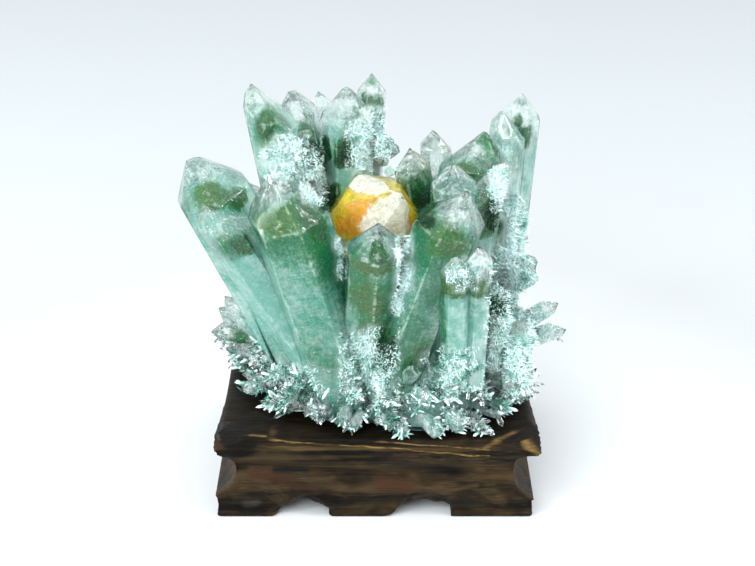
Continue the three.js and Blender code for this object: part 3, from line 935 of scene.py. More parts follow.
@dataclass(frozen=True)
class ClearQuartz:
    """The glassy skin of the points.

    Args:
        name: the material's name.
        tint: colour of light that has gone through it.
        density: how fast it takes that colour, per metre.
        ior: refractive index of quartz.
        polish: roughness where a face is clean.
        frost: how much rougher a frosted face is.
        frosted: the frosted patches.
        pits: the pitted patches.
        stretch: how the growth lines are stretched across, around and along a point.
        lines: the growth lines.
        waves: the slow waves in a face.
        heights: how high the lines, the pits and the waves are, against each other.
        bump: how strong they all are, and how high, in metres.
    """

    name: str = "clear_quartz"
    tint: Colour = (0.40, 0.84, 0.79)
    density: float = 20.0
    ior: float = 1.544
    polish: float = 0.03
    frost: float = 0.16
    frosted: Ragged = (130.0, 0.47, 0.62)
    pits: Ragged = (380.0, 0.56, 0.66)
    stretch: Triple = (0.12, 1.1, 1.0)
    lines: Texture = (1.0, 4.0, 0.65)
    waves: Texture = (160.0, 2.0, 0.5)
    heights: Triple = (0.5, 0.35, 2.2)
    bump: tuple[float, float] = (0.45, 0.0006)

    def material(self) -> bpy.types.Material:
        """Returns the finish as a material."""
        finish = Finish(self.name)
        nodes = finish.nodes
        place = nodes.place()
        frosted = clouds(nodes, place, *self.frosted) * self.frost
        lines = nodes.noise(nodes.triple("grain", self.stretch), *self.lines)
        pits = clouds(nodes, place, *self.pits)
        waves = nodes.noise(place, *self.waves)
        line_height, pit_height, wave_height = self.heights
        height = lines * line_height - pits * pit_height + waves * wave_height
        finish.set(
            Base_Color=(1.0, 1.0, 1.0),
            Transmission_Weight=1.0,
            IOR=self.ior,
            Roughness=frosted + self.polish,
            Normal=nodes.bump(height, *self.bump),
        )
        volume = nodes.add("ShaderNodeVolumeAbsorption", {"Color": self.tint, "Density": self.density})
        nodes.connect(volume.outputs[0], finish.output.inputs["Volume"])
        return finish.material


@dataclass(frozen=True)
class MilkyVeil:
    """The milky quartz close under the faces of the little points.

    Args:
        white: its colour where it is thick.
        mint: its colour where it is thin.
        patches: the milky patches.
        thickening: how far below the tip it starts and where it is full, in millimetres.
        shares: how dense the patches and the thickening make it.
        densest: the densest that it gets.
    """

    white: Colour = (0.92, 0.97, 0.96)
    mint: Colour = (0.42, 0.78, 0.70)
    patches: Ragged = (190.0, 0.42, 0.60)
    thickening: tuple[float, float] = (0.5, 7.0)
    shares: tuple[float, float] = (0.45, 0.55)
    densest: float = 0.97

    def material(self) -> bpy.types.Material:
        """Returns the finish as a material."""
        finish = Finish("milky_veil")
        nodes = finish.nodes
        place = nodes.place()
        patches = clouds(nodes, place, *self.patches)
        below = nodes.ramp(nodes.number("below"), *self.thickening)
        alpha = patches * self.shares[0] + below * self.shares[1]
        finish.set(
            Base_Color=nodes.mix(patches, self.mint, self.white),
            Alpha=nodes.least(alpha, self.densest),
            Roughness=0.5,
        )
        return finish.material


@dataclass(frozen=True)
class DustyQuartz:
    """The milky inside of a green point, with clouds of green dust.

    Args:
        layer: where it lies.
        milk: the whitest clouds.
        mint: its palest body colour.
        teal: its deepest body colour.
        deep: the deep green at its sides.
        leaf: the rim of a cloud of dust.
        olive: the dust where it is thin.
        moss: the dust where it is thick.
        broad: the broad wander of all edges.
        fine: their fine wander.
        fibres: fibres along a point.
        fibre_stretch: how the fibres are stretched.
        steps: growth steps across a point.
        step_stretch: how the steps are stretched.
        whites: the white clouds in the body.
        mist: the thin mist close under a face.
        mottle: the mottled inside of a cloud of dust.
        specks: the dark specks in it.
        sparks: the small white sparks.
        flecks: the larger white flecks.
        tear: how ragged a cloud's edge is.
        deepen: over how many millimetres a core or a shell gets as dense as it is.
    """

    layer: Layer
    milk: Colour = (0.84, 0.95, 0.92)
    mint: Colour = (0.22, 0.57, 0.48)
    teal: Colour = (0.018, 0.28, 0.165)
    deep: Colour = (0.003, 0.200, 0.075)
    leaf: Colour = (0.018, 0.220, 0.055)
    olive: Colour = (0.048, 0.145, 0.010)
    moss: Colour = (0.003, 0.085, 0.014)
    broad: Texture = (150.0, 3.0, 0.6)
    fine: Texture = (700.0, 3.0, 0.65)
    fibres: Texture = (1.0, 4.0, 0.65)
    fibre_stretch: Triple = (0.9, 0.9, 0.1)
    steps: Texture = (1.0, 3.0, 0.6)
    step_stretch: Triple = (0.06, 0.06, 1.5)
    whites: Ragged = (95.0, 0.47, 0.62)
    mist: Texture = (330.0, 4.0, 0.7)
    mottle: Texture = (620.0, 4.0, 0.7)
    specks: Texture = (1300.0, 2.0, 0.6)
    sparks: Texture = (1700.0, 2.0, 0.6)
    flecks: Ragged = (620.0, 0.57, 0.64)
    tear: float = 1.5
    deepen: tuple[float, float] = (4.5, 12.0)

    def material(self) -> bpy.types.Material:
        """Returns the finish as a material."""
        finish = Finish(f"dusty_quartz_{self.layer.name.lower()}")
        nodes = finish.nodes
        place = nodes.place()
        broad = nodes.swing(place, *self.broad)
        fine = nodes.swing(place, *self.fine)
        fibres = nodes.swing(nodes.triple("grain", self.fibre_stretch), *self.fibres)
        steps = nodes.swing(nodes.triple("grain", self.step_stretch), *self.steps)
        ragged = broad + fine + fibres

        def torn(name: str) -> Signal:
            """Returns a cloud's mask with a ragged edge."""
            return nodes.ramp(nodes.number(name) * (1.0 + ragged * self.tear), 0.08, 0.9)

        masks = {dust: torn(dust.value) for dust in Dust}
        dusty = nodes.most(masks[Dust.MOSS], masks[Dust.OLIVE])
        body = nodes.ramp(nodes.number("depth"), 0.0, 16.0)
        tone = nodes.number("tone") + (ragged * 0.65 + steps * 0.5)
        colour = nodes.mix(nodes.ramp(tone, 0.1, 0.95), self.mint, self.teal)
        white = clouds(nodes, place, *self.whites) * nodes.number("frost")
        colour = nodes.mix(white * 0.75, colour, self.milk)
        colour = nodes.mix(nodes.ramp(nodes.number("depth"), -2.0, 7.0), self.milk, colour)
        mist = nodes.noise(place, *self.mist) + fibres * 0.25
        covered = nodes.most(dusty, masks[Dust.DEEP])
        thin = nodes.least(nodes.ramp(body, 0.0, 1.0, 1.0, 0.5), nodes.ramp(covered, 0.0, 0.8, 1.0, 0.3))
        veil = nodes.ramp(mist, 0.46, 0.7, 0.0, 0.55) * thin
        colour = nodes.mix(veil, colour, self.milk)
        colour = nodes.mix(masks[Dust.DEEP], colour, self.deep)
        mottled = nodes.ramp(nodes.noise(place, *self.mottle), 0.40, 0.60, 0.40, 1.0)
        for mask, heart in ((masks[Dust.OLIVE], self.olive), (masks[Dust.MOSS], self.moss)):
            colour = nodes.mix(nodes.ramp(mask, 0.0, 0.55), colour, self.leaf)
            colour = nodes.mix(nodes.ramp(mask, 0.35, 0.95) * mottled, colour, heart)
        specks = nodes.ramp(nodes.noise(place, *self.specks), 0.58, 0.66)
        colour = nodes.mix(specks * (dusty * 0.7), colour, self.moss)
        colour = nodes.mix(masks[Dust.MILK], colour, self.milk)
        sparks = nodes.ramp(nodes.noise(place, *self.sparks), 0.62, 0.69)
        cracks = nodes.ramp(abs(fine + broad), 0.0, 0.022, 0.6, 0.0)
        flecks = nodes.most(clouds(nodes, place, *self.flecks), nodes.most(sparks, cracks))
        flecks = flecks * nodes.ramp(thin, 0.3, 1.0, 0.22, 0.8)
        # Whiter along the shell's edges: small white chips, and a painted highlight along each edge.
        edge = nodes.number("edge") + ragged * 1.9
        flecks = nodes.most(flecks, nodes.ramp(edge, -0.2, 0.22, 0.38, 0.0))
        colour = nodes.mix(flecks, colour, self.milk)
        depth = nodes.number("depth") + ragged * 9.0
        core_depth, shell_depth = self.deepen
        if self.layer is Layer.CORE:
            alpha = nodes.ramp(depth, 0.0, core_depth)
        else:
            haze = nodes.ramp(mist, 0.44, 0.68, 0.02, 0.50)
            cloudy = nodes.most(dusty, nodes.most(masks[Dust.MILK], masks[Dust.DEEP]))
            haze = nodes.most(haze, nodes.most(flecks, cloudy * 0.9))
            alpha = nodes.most(haze, nodes.ramp(depth, 0.0, shell_depth, 0.0, 0.95))
        finish.set(Base_Color=colour, Alpha=alpha, Roughness=0.5, Specular_IOR_Level=0.15)
        return finish.material


@dataclass(frozen=True)
class AmberQuartz:
    """The iron-stained inside of the amber point, with a painted glow.

    Args:
        layer: where it lies.
        yellow: its colour where the stain is thin.
        orange: its colour where the stain is thick.
        dull: its white front where it is thin.
        milk: its white front.
        crack: the cracks in its front.
        painted_glow: a painted glow that stands in for light that passes through it.
        painted_glow_strength: how strong that glow is.
        fine: the fine wander of the stain's edges.
        broad: their broad wander.
        shade: the shades in its white front.
        stain: the stain under the faces.
    """

    layer: Layer
    yellow: Colour = (0.96, 0.78, 0.008)
    orange: Colour = (0.92, 0.38, 0.003)
    dull: Colour = (0.66, 0.70, 0.66)
    milk: Colour = (0.95, 0.98, 0.97)
    crack: Colour = (0.46, 0.42, 0.28)
    painted_glow: Colour = (0.85, 0.60, 0.01)
    painted_glow_strength: float = 0.10
    fine: Texture = (420.0, 3.0, 0.6)
    broad: Texture = (150.0, 2.0, 0.6)
    shade: Texture = (520.0, 4.0, 0.7)
    stain: Ragged = (160.0, 0.36, 0.56)

    def material(self) -> bpy.types.Material:
        """Returns the finish as a material."""
        finish = Finish(f"amber_quartz_{self.layer.name.lower()}")
        nodes = finish.nodes
        place = nodes.place()
        fine = nodes.swing(place, *self.fine)
        broad = nodes.swing(place, *self.broad)
        ragged = broad * 0.9 + fine * 0.6
        orange = nodes.ramp(nodes.number(Dust.ORANGE.value) + ragged, 0.25, 0.75)
        milk = nodes.ramp(nodes.number(Dust.MILK.value) + ragged, 0.35, 0.62)
        colour = nodes.mix(orange, self.yellow, self.orange)
        cracks = nodes.ramp(abs(ragged), 0.0, 0.035, 0.5, 0.0)
        if self.layer is Layer.SHELL:
            shade = nodes.noise(place, *self.shade)
            frosty = nodes.mix(nodes.ramp(shade, 0.36, 0.62), self.dull, self.milk)
            colour = nodes.mix(cracks * 0.6, colour, self.milk)
            colour = nodes.mix(milk, colour, frosty)
            colour = nodes.mix(cracks * milk, colour, self.crack)
            stain = clouds(nodes, place, *self.stain)
            alpha = nodes.most(stain * 0.6, milk * 0.86)
        else:
            alpha = 1.0
        finish.set(
            Base_Color=colour,
            Alpha=alpha,
            Roughness=0.45,
            # Painted glow: the amber glows a little, standing in for light that passes through it.
            Emission_Color=self.painted_glow,
            Emission_Strength=self.painted_glow_strength,
        )
        return finish.material


@dataclass(frozen=True)
class NeedleQuartz:
    """The fine white needles, greener at their feet, with painted shade at the feet of those down in the
    holes.

    Args:
        tip: colour at the tips.
        snow: colour at the feet of the white ones.
        foot: colour at the feet of the usual ones.
        green: colour at the feet of the dusty ones.
        hole_shade: painted shade, the colour of those down in the holes.
    """

    tip: Colour = (0.80, 0.92, 0.92)
    snow: Colour = (0.56, 0.80, 0.78)
    foot: Colour = (0.21, 0.55, 0.47)
    green: Colour = (0.04, 0.27, 0.17)
    hole_shade: Colour = (0.006, 0.060, 0.030)

    def material(self) -> bpy.types.Material:
        """Returns the finish as a material."""
        finish = Finish("needle_quartz")
        nodes = finish.nodes
        reach = nodes.number("reach")
        tone = nodes.number("tone")
        foot = nodes.mix(nodes.ramp(tone, 0.15, 0.45), self.snow, self.foot)
        foot = nodes.mix(nodes.ramp(tone, 0.45, 0.75), foot, self.green)
        # Painted shade: the greenest needles get near-black feet, as if down in holes.
        foot = nodes.mix(nodes.ramp(tone, 0.72, 0.92), foot, self.hole_shade)
        tip = nodes.mix(nodes.ramp(tone, 0.45, 0.80), self.tip, self.foot)
        tip = nodes.mix(nodes.ramp(tone, 0.80, 0.95), tip, self.green)
        colour = nodes.mix(nodes.ramp(reach, 0.0, 0.8), foot, tip)
        finish.set(Base_Color=colour, Roughness=0.35, Specular_IOR_Level=0.5)
        return finish.material


@dataclass(frozen=True)
class MossyQuartz:
    """The dark green needles in the gaps.

    Args:
        tip: colour at the tips.
        foot: colour at the feet.
    """

    tip: Colour = (0.045, 0.15, 0.075)
    foot: Colour = (0.006, 0.028, 0.012)

    def material(self) -> bpy.types.Material:
        """Returns the finish as a material."""
        finish = Finish("mossy_quartz")
        nodes = finish.nodes
        finish.set(
            Base_Color=nodes.mix(nodes.ramp(nodes.number("reach"), 0.2, 1.0), self.foot, self.tip),
            Roughness=0.5,
            Specular_IOR_Level=0.25,
        )
        return finish.material


@dataclass(frozen=True)
class CarvedWood:
    """Dark lacquered hardwood with streaks along the stand and worn places, painted shade in its hollows,
    coves and on its top, and a painted highlight in the gold along its top edge.

    Args:
        black: the lacquer where it is thick.
        brown: the lacquer where it is thin.
        pale: the fine fibres that shine through.
        tints: colour of each kind of worn place; the dark one is painted shade, and the gold one is worn
            lacquer with a painted highlight.
        lines: the thin gold lines along the front's top edge, worn lacquer with a painted highlight: height
            in the middle, slope and where each starts, in metres.
        line_width: half the width of such a line, in metres.
        line_fade: over what distance such a line starts, in metres.
        line_wander: how far it wanders up and down, in metres.
        grains: waves in a metre across, inwards and up, of each pattern in the wood.
    """

    black: Colour = (0.0022, 0.0016, 0.0010)
    brown: Colour = (0.034, 0.0225, 0.0095)
    pale: Colour = (0.10, 0.070, 0.034)
    tints: tuple[tuple[WearShadeAndHighlight, Colour], ...] = (
        (WearShadeAndHighlight.RED, (0.034, 0.014, 0.0065)),
        (WearShadeAndHighlight.BROWN, (0.060, 0.037, 0.015)),
        (WearShadeAndHighlight.PALE, (0.06, 0.057, 0.046)),
        (WearShadeAndHighlight.DARK, (0.003, 0.0032, 0.0040)),
        (WearShadeAndHighlight.GOLD, (0.21, 0.130, 0.040)),
    )
    lines: tuple[Triple, ...] = ((0.0257, -0.088, -0.036), (0.0280, -0.081, -0.002))
    line_width: float = 0.00042
    line_fade: float = 0.006
    line_wander: float = 0.0022
    grains: tuple[tuple[str, Triple], ...] = (
        ("streaks", (16, 170, 430)),
        ("fibres", (60, 700, 1900)),
        ("blotches", (38, 60, 90)),
        ("shine", (110, 900, 2600)),
        ("wander", (60, 60, 60)),
        ("breaks", (220, 220, 900)),
    )

    def gold_lines(self, nodes: Nodes) -> Signal:
        """Returns the mask of the thin gold lines, worn lacquer with a painted highlight along the top edge.

        Args:
            nodes: the material's nodes.
        """
        split = nodes.add("ShaderNodeSeparateXYZ", {0: nodes.place()}).outputs
        across, up = Signal(nodes, split["X"]), Signal(nodes, split["Z"])
        grains = dict(self.grains)
        wander = nodes.swing(nodes.place(grains["wander"]), 1.0, 3.0, 0.6)
        masks = []
        for height, slope, start in self.lines:
            middle = height + across * slope + wander * self.line_wander
            away = abs(up - middle)
            line = nodes.ramp(away, 0.0, self.line_width, 1.0, 0.0)
            masks.append(line * nodes.ramp(across, start, start + self.line_fade))
        breaks = nodes.noise(nodes.place(grains["breaks"]), 1.0, 3.0, 0.7)
        broken = nodes.ramp(breaks, 0.40, 0.56, 0.15, 0.9)
        return nodes.most(*masks) * broken * nodes.number("front")

    def material(self) -> bpy.types.Material:
        """Returns the finish as a material."""
        finish = Finish("carved_wood")
        nodes = finish.nodes
        grains = dict(self.grains)
        streaks = nodes.noise(nodes.place(grains["streaks"]), 1.0, 5.0, 0.66)
        fine = nodes.noise(nodes.place(grains["fibres"]), 1.0, 3.0, 0.6)
        blotches = nodes.noise(nodes.place(grains["blotches"]), 1.0, 4.0, 0.6)
        level = streaks * 0.55 + blotches * 0.45
        colour = nodes.mix(nodes.ramp(level, 0.42, 0.60), self.black, self.brown)
        shine = nodes.noise(nodes.place(grains["shine"]), 1.0, 4.0, 0.7)
        shine = nodes.ramp(shine, 0.56, 0.68, 0.0, 0.55)
        colour = nodes.mix(shine * nodes.ramp(blotches, 0.38, 0.62), colour, self.pale)
        # Painted shade in the carved hollows: darker where the carving is deeper.
        colour = nodes.mix(nodes.ramp(nodes.number("hollow"), 0.35, 1.0, 0.0, 0.72), colour, self.black)
        # Painted shadow of the cluster: the stand's top is darkened towards black.
        colour = nodes.mix(nodes.number("top") * 0.7, colour, self.black)
        # Worn places in their tints; the dark tint is painted shade in the coves, and the gold tint adds a
        # painted highlight.
        for mark_kind, tint in self.tints:
            torn = nodes.number(mark_kind.value) * (0.45 + fine) * (0.5 + streaks)
            colour = nodes.mix(nodes.ramp(torn, 0.25, 1.15), colour, tint)
        # Thin gold lines along the top edge: worn lacquer with a painted highlight.
        colour = nodes.mix(self.gold_lines(nodes), colour, dict(self.tints)[WearShadeAndHighlight.GOLD])
        height = level * 1.2 + fine * 0.3
        finish.set(
            Base_Color=colour,
            Roughness=nodes.ramp(level, 0.35, 0.65, 0.40, 0.62),
            Specular_IOR_Level=0.12,
            Normal=nodes.bump(height, 0.9, 0.0012),
        )
        return finish.material


# The shapes that all the quartz is worked out from


@dataclass
class Hulls:
    """All the grown points as sets of planes, to ask what lies inside them.

    Args:
        grown: the points.
    """

    grown: list[Grown]
    normals: np.ndarray = field(init=False)
    distances: np.ndarray = field(init=False)
    starts: np.ndarray = field(init=False)

    def __post_init__(self) -> None:
        """Puts all the planes in one array."""
        planes = [point.planes() for point in self.grown]
        self.normals = np.array([tuple(normal) for group in planes for normal, _ in group])
        self.distances = np.array([distance for group in planes for _, distance in group])
        self.starts = np.cumsum([0] + [len(group) for group in planes[:-1]])

    def depths(self, places: np.ndarray) -> np.ndarray:
        """Returns how far each place is outside each point, one row a place, in millimetres.

        Args:
            places: the places, one row each, in millimetres.
        """
        step = 2000
        rows = []
        for at in range(0, len(places), step):
            over = places[at:at + step] @ self.normals.T - self.distances
            rows.append(np.maximum.reduceat(over, self.starts, axis=1))
        return np.concatenate(rows)

    def outside(self, places: np.ndarray) -> np.ndarray:
        """Returns how far each place is outside all the points, in millimetres."""
        return self.depths(places).min(axis=1)


def floor_plane(height: float) -> tuple[Vector, Vector]:
    """Returns a place on a level plane and its normal, downwards.

    Args:
        height: the plane's height.
    """
    return Vector((0, 0, height)), Vector((0, 0, -1))


def cut(obj: bpy.types.Object, planes: Iterable[tuple[Vector, Vector]], closed: bool = True) -> None:
    """Cuts away what lies outside some planes.

    Args:
        obj: the object.
        planes: a place on each plane and its outward normal.
        closed: whether each cut is closed with a face.
    """
    select_only(obj)
    bpy.ops.object.mode_set(mode="EDIT")
    for place, normal in planes:
        bpy.ops.mesh.select_all(action="SELECT")
        bpy.ops.mesh.bisect(plane_co=place, plane_no=normal, use_fill=closed, clear_outer=True)
    bpy.ops.object.mode_set(mode="OBJECT")


def block_between(grown: Grown, planes: list[tuple[Vector, Vector]]) -> bpy.types.Object:
    """Models a block along a point's axis, cut by planes.

    Args:
        grown: the point.
        planes: a place on each plane and its outward normal, in millimetres.

    Returns:
        The block, in millimetres.
    """
    point = grown.point
    length = (Vector(point.tip) - grown.start).dot(grown.axis)
    middle = grown.start + grown.axis * (length / 2)
    turn = grown.axis.to_track_quat("Z", "Y")
    bpy.ops.object.select_all(action="DESELECT")
    bpy.ops.mesh.primitive_cube_add(size=1, location=middle, rotation=turn.to_euler())
    block = bpy.context.active_object
    block.scale = (2 * point.width, 2 * point.width, length)
    bpy.ops.object.transform_apply(location=True, rotation=True, scale=True)
    cut(block, planes)
    return block


def shrunk_planes(grown: Grown, inset: float) -> list[tuple[Vector, Vector]]:
    """Returns a point's planes moved inwards, as a place on each and its normal.

    Args:
        grown: the point.
        inset: how far, in millimetres.
    """
    return [(normal * (distance - inset), normal) for normal, distance in grown.planes()]


# The pieces


@dataclass
class CrystalSkin:
    """The clear outside of every point, taken from the joined solid.

    Args:
        grown: all the points.
        name: the piece's name.
        flat: faces that turn less than this are one face, in degrees.
        sharp: edges that turn more than this are worn, in degrees.
        worn_edge: how far an edge is worn back, in metres.
    """

    grown: list[Grown]
    name: str = "quartz_points"
    flat: float = 0.4
    sharp: float = 20.0
    worn_edge: float = 0.00015

    def mark(self, mesh: bpy.types.Mesh, hulls: Hulls) -> None:
        """Stores on each corner where it lies across and along its own point.

        Args:
            mesh: the skin's mesh.
            hulls: all the points' planes.
        """
        middles = np.array([tuple(face.center) for face in mesh.polygons]) / MM
        owners = np.abs(hulls.depths(middles)).argmin(axis=1)
        grain = np.zeros((len(mesh.loops), 3))
        for face, owner in zip(mesh.polygons, owners):
            point = self.grown[owner]
            across = point.axis.cross(face.normal)
            for corner in face.loop_indices:
                place = mesh.vertices[mesh.loops[corner].vertex_index].co / MM - point.start
                grain[corner] = (place.dot(across), place.dot(point.axis), owner)
        set_values(mesh, "grain", grain, "CORNER")

    def build(self, hulls: Hulls) -> bpy.types.Object:
        """Makes the skin and gives it its finish."""
        skin = copy_of_node(CLUSTER_NODE, self.name)
        bpy.ops.object.mode_set(mode="EDIT")
        bpy.ops.mesh.select_all(action="SELECT")
        bpy.ops.mesh.dissolve_limited(angle_limit=math.radians(self.flat))
        bpy.ops.mesh.select_all(action="DESELECT")
        bpy.ops.mesh.select_mode(type="EDGE")
        bpy.ops.mesh.edges_select_sharp(sharpness=math.radians(self.sharp))
        bpy.ops.mesh.bevel(offset=self.worn_edge, segments=1, clamp_overlap=False)
        bpy.ops.object.mode_set(mode="OBJECT")
        bpy.ops.object.shade_flat()
        self.mark(skin.data, hulls)
        skin.data.materials.append(ClearQuartz().material())
        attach(skin, BODY)
        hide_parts(CLUSTER_NODE)
        return skin


@dataclass
class Veils:
    """A thin milky shell close under the faces of every little point.

    Args:
        inset: how far under the faces, in millimetres.
        clearance: how far above the cluster's underside it ends, in millimetres.
    """

    inset: float = 0.45
    clearance: float = 0.5

    def build(self, little: list[Grown]) -> bpy.types.Object:
        """Makes all the shells as one piece.

        Args:
            little: the little points.
        """
        shells = JoinedMesh()
        for grown in little:
            places, faces = take_mesh(block_between(grown, shrunk_planes(grown, self.inset)))
            below = (np.array(grown.point.tip) - places) @ np.array(grown.axis)
            shells.add(places * MM, faces, {"below": below})
        veils = shells.make("little_veils")
        cut(veils, [floor_plane((CLUSTER_BOTTOM + self.clearance) * MM)], closed=False)
        veils.data.materials.append(MilkyVeil().material())
        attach(veils, BODY)
        return veils


@dataclass
class DustyCores:
    """The milky shells and cores inside the big points, with their clouds of dust.

    Args:
        shell_inset: how far a shell is under the point's faces, in millimetres.
        shell_depth: how finely a long shell is divided, in halvings of its length.
        long: points at least this long have one halving more than the others, in millimetres.
        inset: how far a core's faces stand inside the point's, as a share of its width.
        least_inset: the least that distance may be, in millimetres.
        even: size of the even mesh on a core, as a share of the point's width.
        least_even: the least that size may be, in millimetres.
        clearance: how far above the cluster's underside they end, in millimetres.
        rough: how far the core's faces wander, as a share of the inset.
        wander: the layers of noise that they wander with.
        drift: the layers of noise that move the clouds along a point, in millimetres.
        swirl: the layers of noise that move them round it, in degrees.
        cap: how far under the clear tip the dust that fell on it lies, and how thick it is.
        cap_shares: how much of that dust is of each kind.
        peak: strength in the middle of a cloud.
        fall: how fast a cloud thins out.
        edge: how sudden its edge is.
        tones: the layers of noise in the body's tone.
    """

    shell_inset: float = 0.6
    shell_depth: int = 6
    long: float = 60.0
    inset: float = 0.16
    least_inset: float = 1.2
    even: float = 0.07
    least_even: float = 0.5
    clearance: float = 1.0
    rough: float = 0.5
    wander: tuple[Triple, ...] = ((1.0, 0.22, 0.0), (0.6, 0.7, 5.0))
    drift: tuple[Triple, ...] = ((2.0, 0.11, 0.0), (1.4, 0.35, 9.0))
    swirl: tuple[Triple, ...] = ((12.0, 0.14, 17.0),)
    cap: tuple[float, float] = (3.0, 5.0)
    cap_shares: tuple[tuple[Dust, float], ...] = ((Dust.OLIVE, 0.75), (Dust.MOSS, 0.55))
    peak: float = 1.15
    fall: float = 0.8
    edge: float = 1.3
    tones: tuple[Triple, ...] = ((0.25, 0.05, 23.0),)

    def cut_shell(self, grown: Grown) -> tuple[np.ndarray, Faces, np.ndarray]:
        """Models one shell: the point itself a little smaller, with sharp edges and many faces.

        Args:
            grown: the point.

        Returns:
            The shell's vertices in millimetres, its faces, and how far each vertex is from an edge.
        """
        planes = shrunk_planes(grown, self.shell_inset)
        planes.append(floor_plane(CLUSTER_BOTTOM + self.clearance))
        block = block_between(grown, planes)
        length = (Vector(grown.point.tip) - grown.start).length
        depth = self.shell_depth - (length < self.long)
        apply_modifier(block, "even mesh", "REMESH", mode="SHARP", octree_depth=depth,
                       scale=0.95, use_remove_disconnected=False)
        places, faces = take_mesh(block)
        gaps = [(np.array(place) - places) @ np.array(normal) for place, normal in planes]
        return places, faces, np.sort(gaps, axis=0)[1]

    def cut_core(self, grown: Grown) -> tuple[np.ndarray, Faces, np.ndarray]:
        """Models one core: a block cut by planes inside the point's own, made uneven.

        Args:
            grown: the point.

        Returns:
            The core's vertices in millimetres, its faces, and a large distance from any edge.
        """
        point = grown.point
        inset = max(self.least_inset, self.inset * point.width)
        cap = Vector(point.tip) - grown.axis * point.clear
        planes = [(grown.start + normal * (reach - inset), normal) for normal, reach in grown.faces]
        planes += [(cap - normal * end_inset, normal) for normal, end_inset in grown.ends]
        planes.append(floor_plane(CLUSTER_BOTTOM + self.clearance))
        block = block_between(grown, planes)
        size = max(self.least_even, self.even * point.width)
        apply_modifier(block, "even mesh", "REMESH", mode="VOXEL", voxel_size=size)
        places = get_places(block.data)
        normals = get_normals(block.data)
        wander = layered_noise(places, self.wander)
        set_places(block.data, places + normals * (self.rough * inset * wander)[:, None])
        places, faces = take_mesh(block)
        return places, faces, np.full(len(places), FAR_FROM_EDGE)

    def values(self, grown: Grown, places: np.ndarray) -> dict[str, np.ndarray]:
        """Works out the dust on each vertex of a shell or core.

        Args:
            grown: the point.
            places: the vertices, in millimetres.

        Returns:
            Each kind of dust, and the depth, tone, frost and grain, by attribute name.
        """
        point = grown.point
        local = places - np.array(grown.start)
        below = (np.array(point.tip) - places) @ np.array(grown.axis)
        across, forward = local @ np.array(grown.side), local @ np.array(grown.front)
        turn = np.degrees(np.arctan2(across, forward))
        drift = layered_noise(places, self.drift)
        swirl = layered_noise(places, self.swirl)
        found = {dust: np.zeros(len(places)) for dust in Dust}
        for cloud in CLOUDS.get(grown.name, ()):
            away = (below + drift - cloud.below) / cloud.length
            around = ((turn + swirl - cloud.turn + 180) % 360 - 180) / cloud.spread
            gone = self.fall * (away ** 2 + around ** 2) ** self.edge
            strength = self.peak * cloud.strength * np.exp(-gone)
            found[cloud.dust] = np.maximum(found[cloud.dust], strength)
        depth = below - point.clear
        middle, reach = self.cap
        cap = point.dust * np.exp(-((depth + drift - middle) / reach) ** 2)
        for dust, share in self.cap_shares:
            found[dust] = np.maximum(found[dust], share * cap)
        values = {dust.value: strength for dust, strength in found.items()}
        values["depth"] = depth
        values["tone"] = point.tone + layered_noise(places, self.tones)
        values["frost"] = np.full(len(places), point.frost)
        values["grain"] = np.stack([across, forward, below], axis=1)
        return values

    def build(self, grown_points: list[Grown]) -> list[bpy.types.Object]:
        """Makes the green cores as one piece and the amber core as another.

        Args:
            grown_points: the big points.

        Returns:
            The pieces.
        """
        shells = {stage: JoinedMesh() for stage in Stage}
        cores = {stage: JoinedMesh() for stage in Stage}
        for grown in grown_points:
            stage = grown.point.stage
            for joined, cut in ((shells, self.cut_shell), (cores, self.cut_core)):
                places, faces, edge = cut(grown)
                joined[stage].add(places * MM, faces, {**self.values(grown, places), "edge": edge})
        made = (
            (shells[Stage.GREEN], "dusty_shells", DustyQuartz(Layer.SHELL).material()),
            (cores[Stage.GREEN], "dusty_cores", DustyQuartz(Layer.CORE).material()),
            (shells[Stage.AMBER], "amber_shell", AmberQuartz(Layer.SHELL).material()),
            (cores[Stage.AMBER], "amber_core", AmberQuartz(Layer.CORE).material()),
        )
        pieces = []
        for joined, name, material in made:
            piece = joined.make(name)
            piece.data.materials.append(material)
            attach(piece, BODY)
            pieces.append(piece)
        return pieces


@dataclass
class DruseBody:
    """The milky rock under the needles, inside the cluster's own rock.

    Args:
        shrink: its size as a share of the rock's.
        clearance: how far above the cluster's underside it ends, in millimetres.
        depth: how deep below a tip it counts as, in millimetres.
        frost: how white it is, from 0 to 1.
    """

    shrink: float = 0.93
    clearance: float = 0.6
    depth: float = 20.0
    frost: float = 0.9

    def build(self, growth: Growth) -> bpy.types.Object:
        """Makes the body.

        Args:
            growth: what knows the rock's size.
        """
        bpy.ops.object.select_all(action="DESELECT")
        bpy.ops.mesh.primitive_ico_sphere_add(subdivisions=5, radius=1)
        body = bpy.context.active_object
        body.name = body.data.name = "milky_rock"
        unit = get_places(body.data)
        x, y, z = unit.T
        lumps = 0.07 * (1 + np.sin(5 * x + 2 * z) * np.cos(4 * y - 3 * z))
        bulge = 1 - lumps - 2 * growth.skew * x * y
        swell = self.shrink * bulge * (1 - 0.02 * (1 + noise_at(unit, 7.0)))
        places = unit * np.array(growth.rock_half) * swell[:, None] + np.array(growth.rock_middle)
        set_places(body.data, places * MM)
        cut(body, [floor_plane((CLUSTER_BOTTOM + self.clearance) * MM)])
        places = get_places(body.data) / MM
        count = len(places)
        values = {dust.value: np.zeros(count) for dust in Dust}
        values["tone"] = 0.35 + 0.3 * noise_at(places, 0.1)
        values["depth"] = np.full(count, self.depth)
        values["frost"] = np.full(count, self.frost)
        values["grain"] = places
        values["edge"] = np.full(count, FAR_FROM_EDGE)
        for name, numbers in values.items():
            set_values(body.data, name, numbers)
        body.data.materials.append(bpy.data.materials["dusty_quartz_core"])
        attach(body, BODY)
        return body


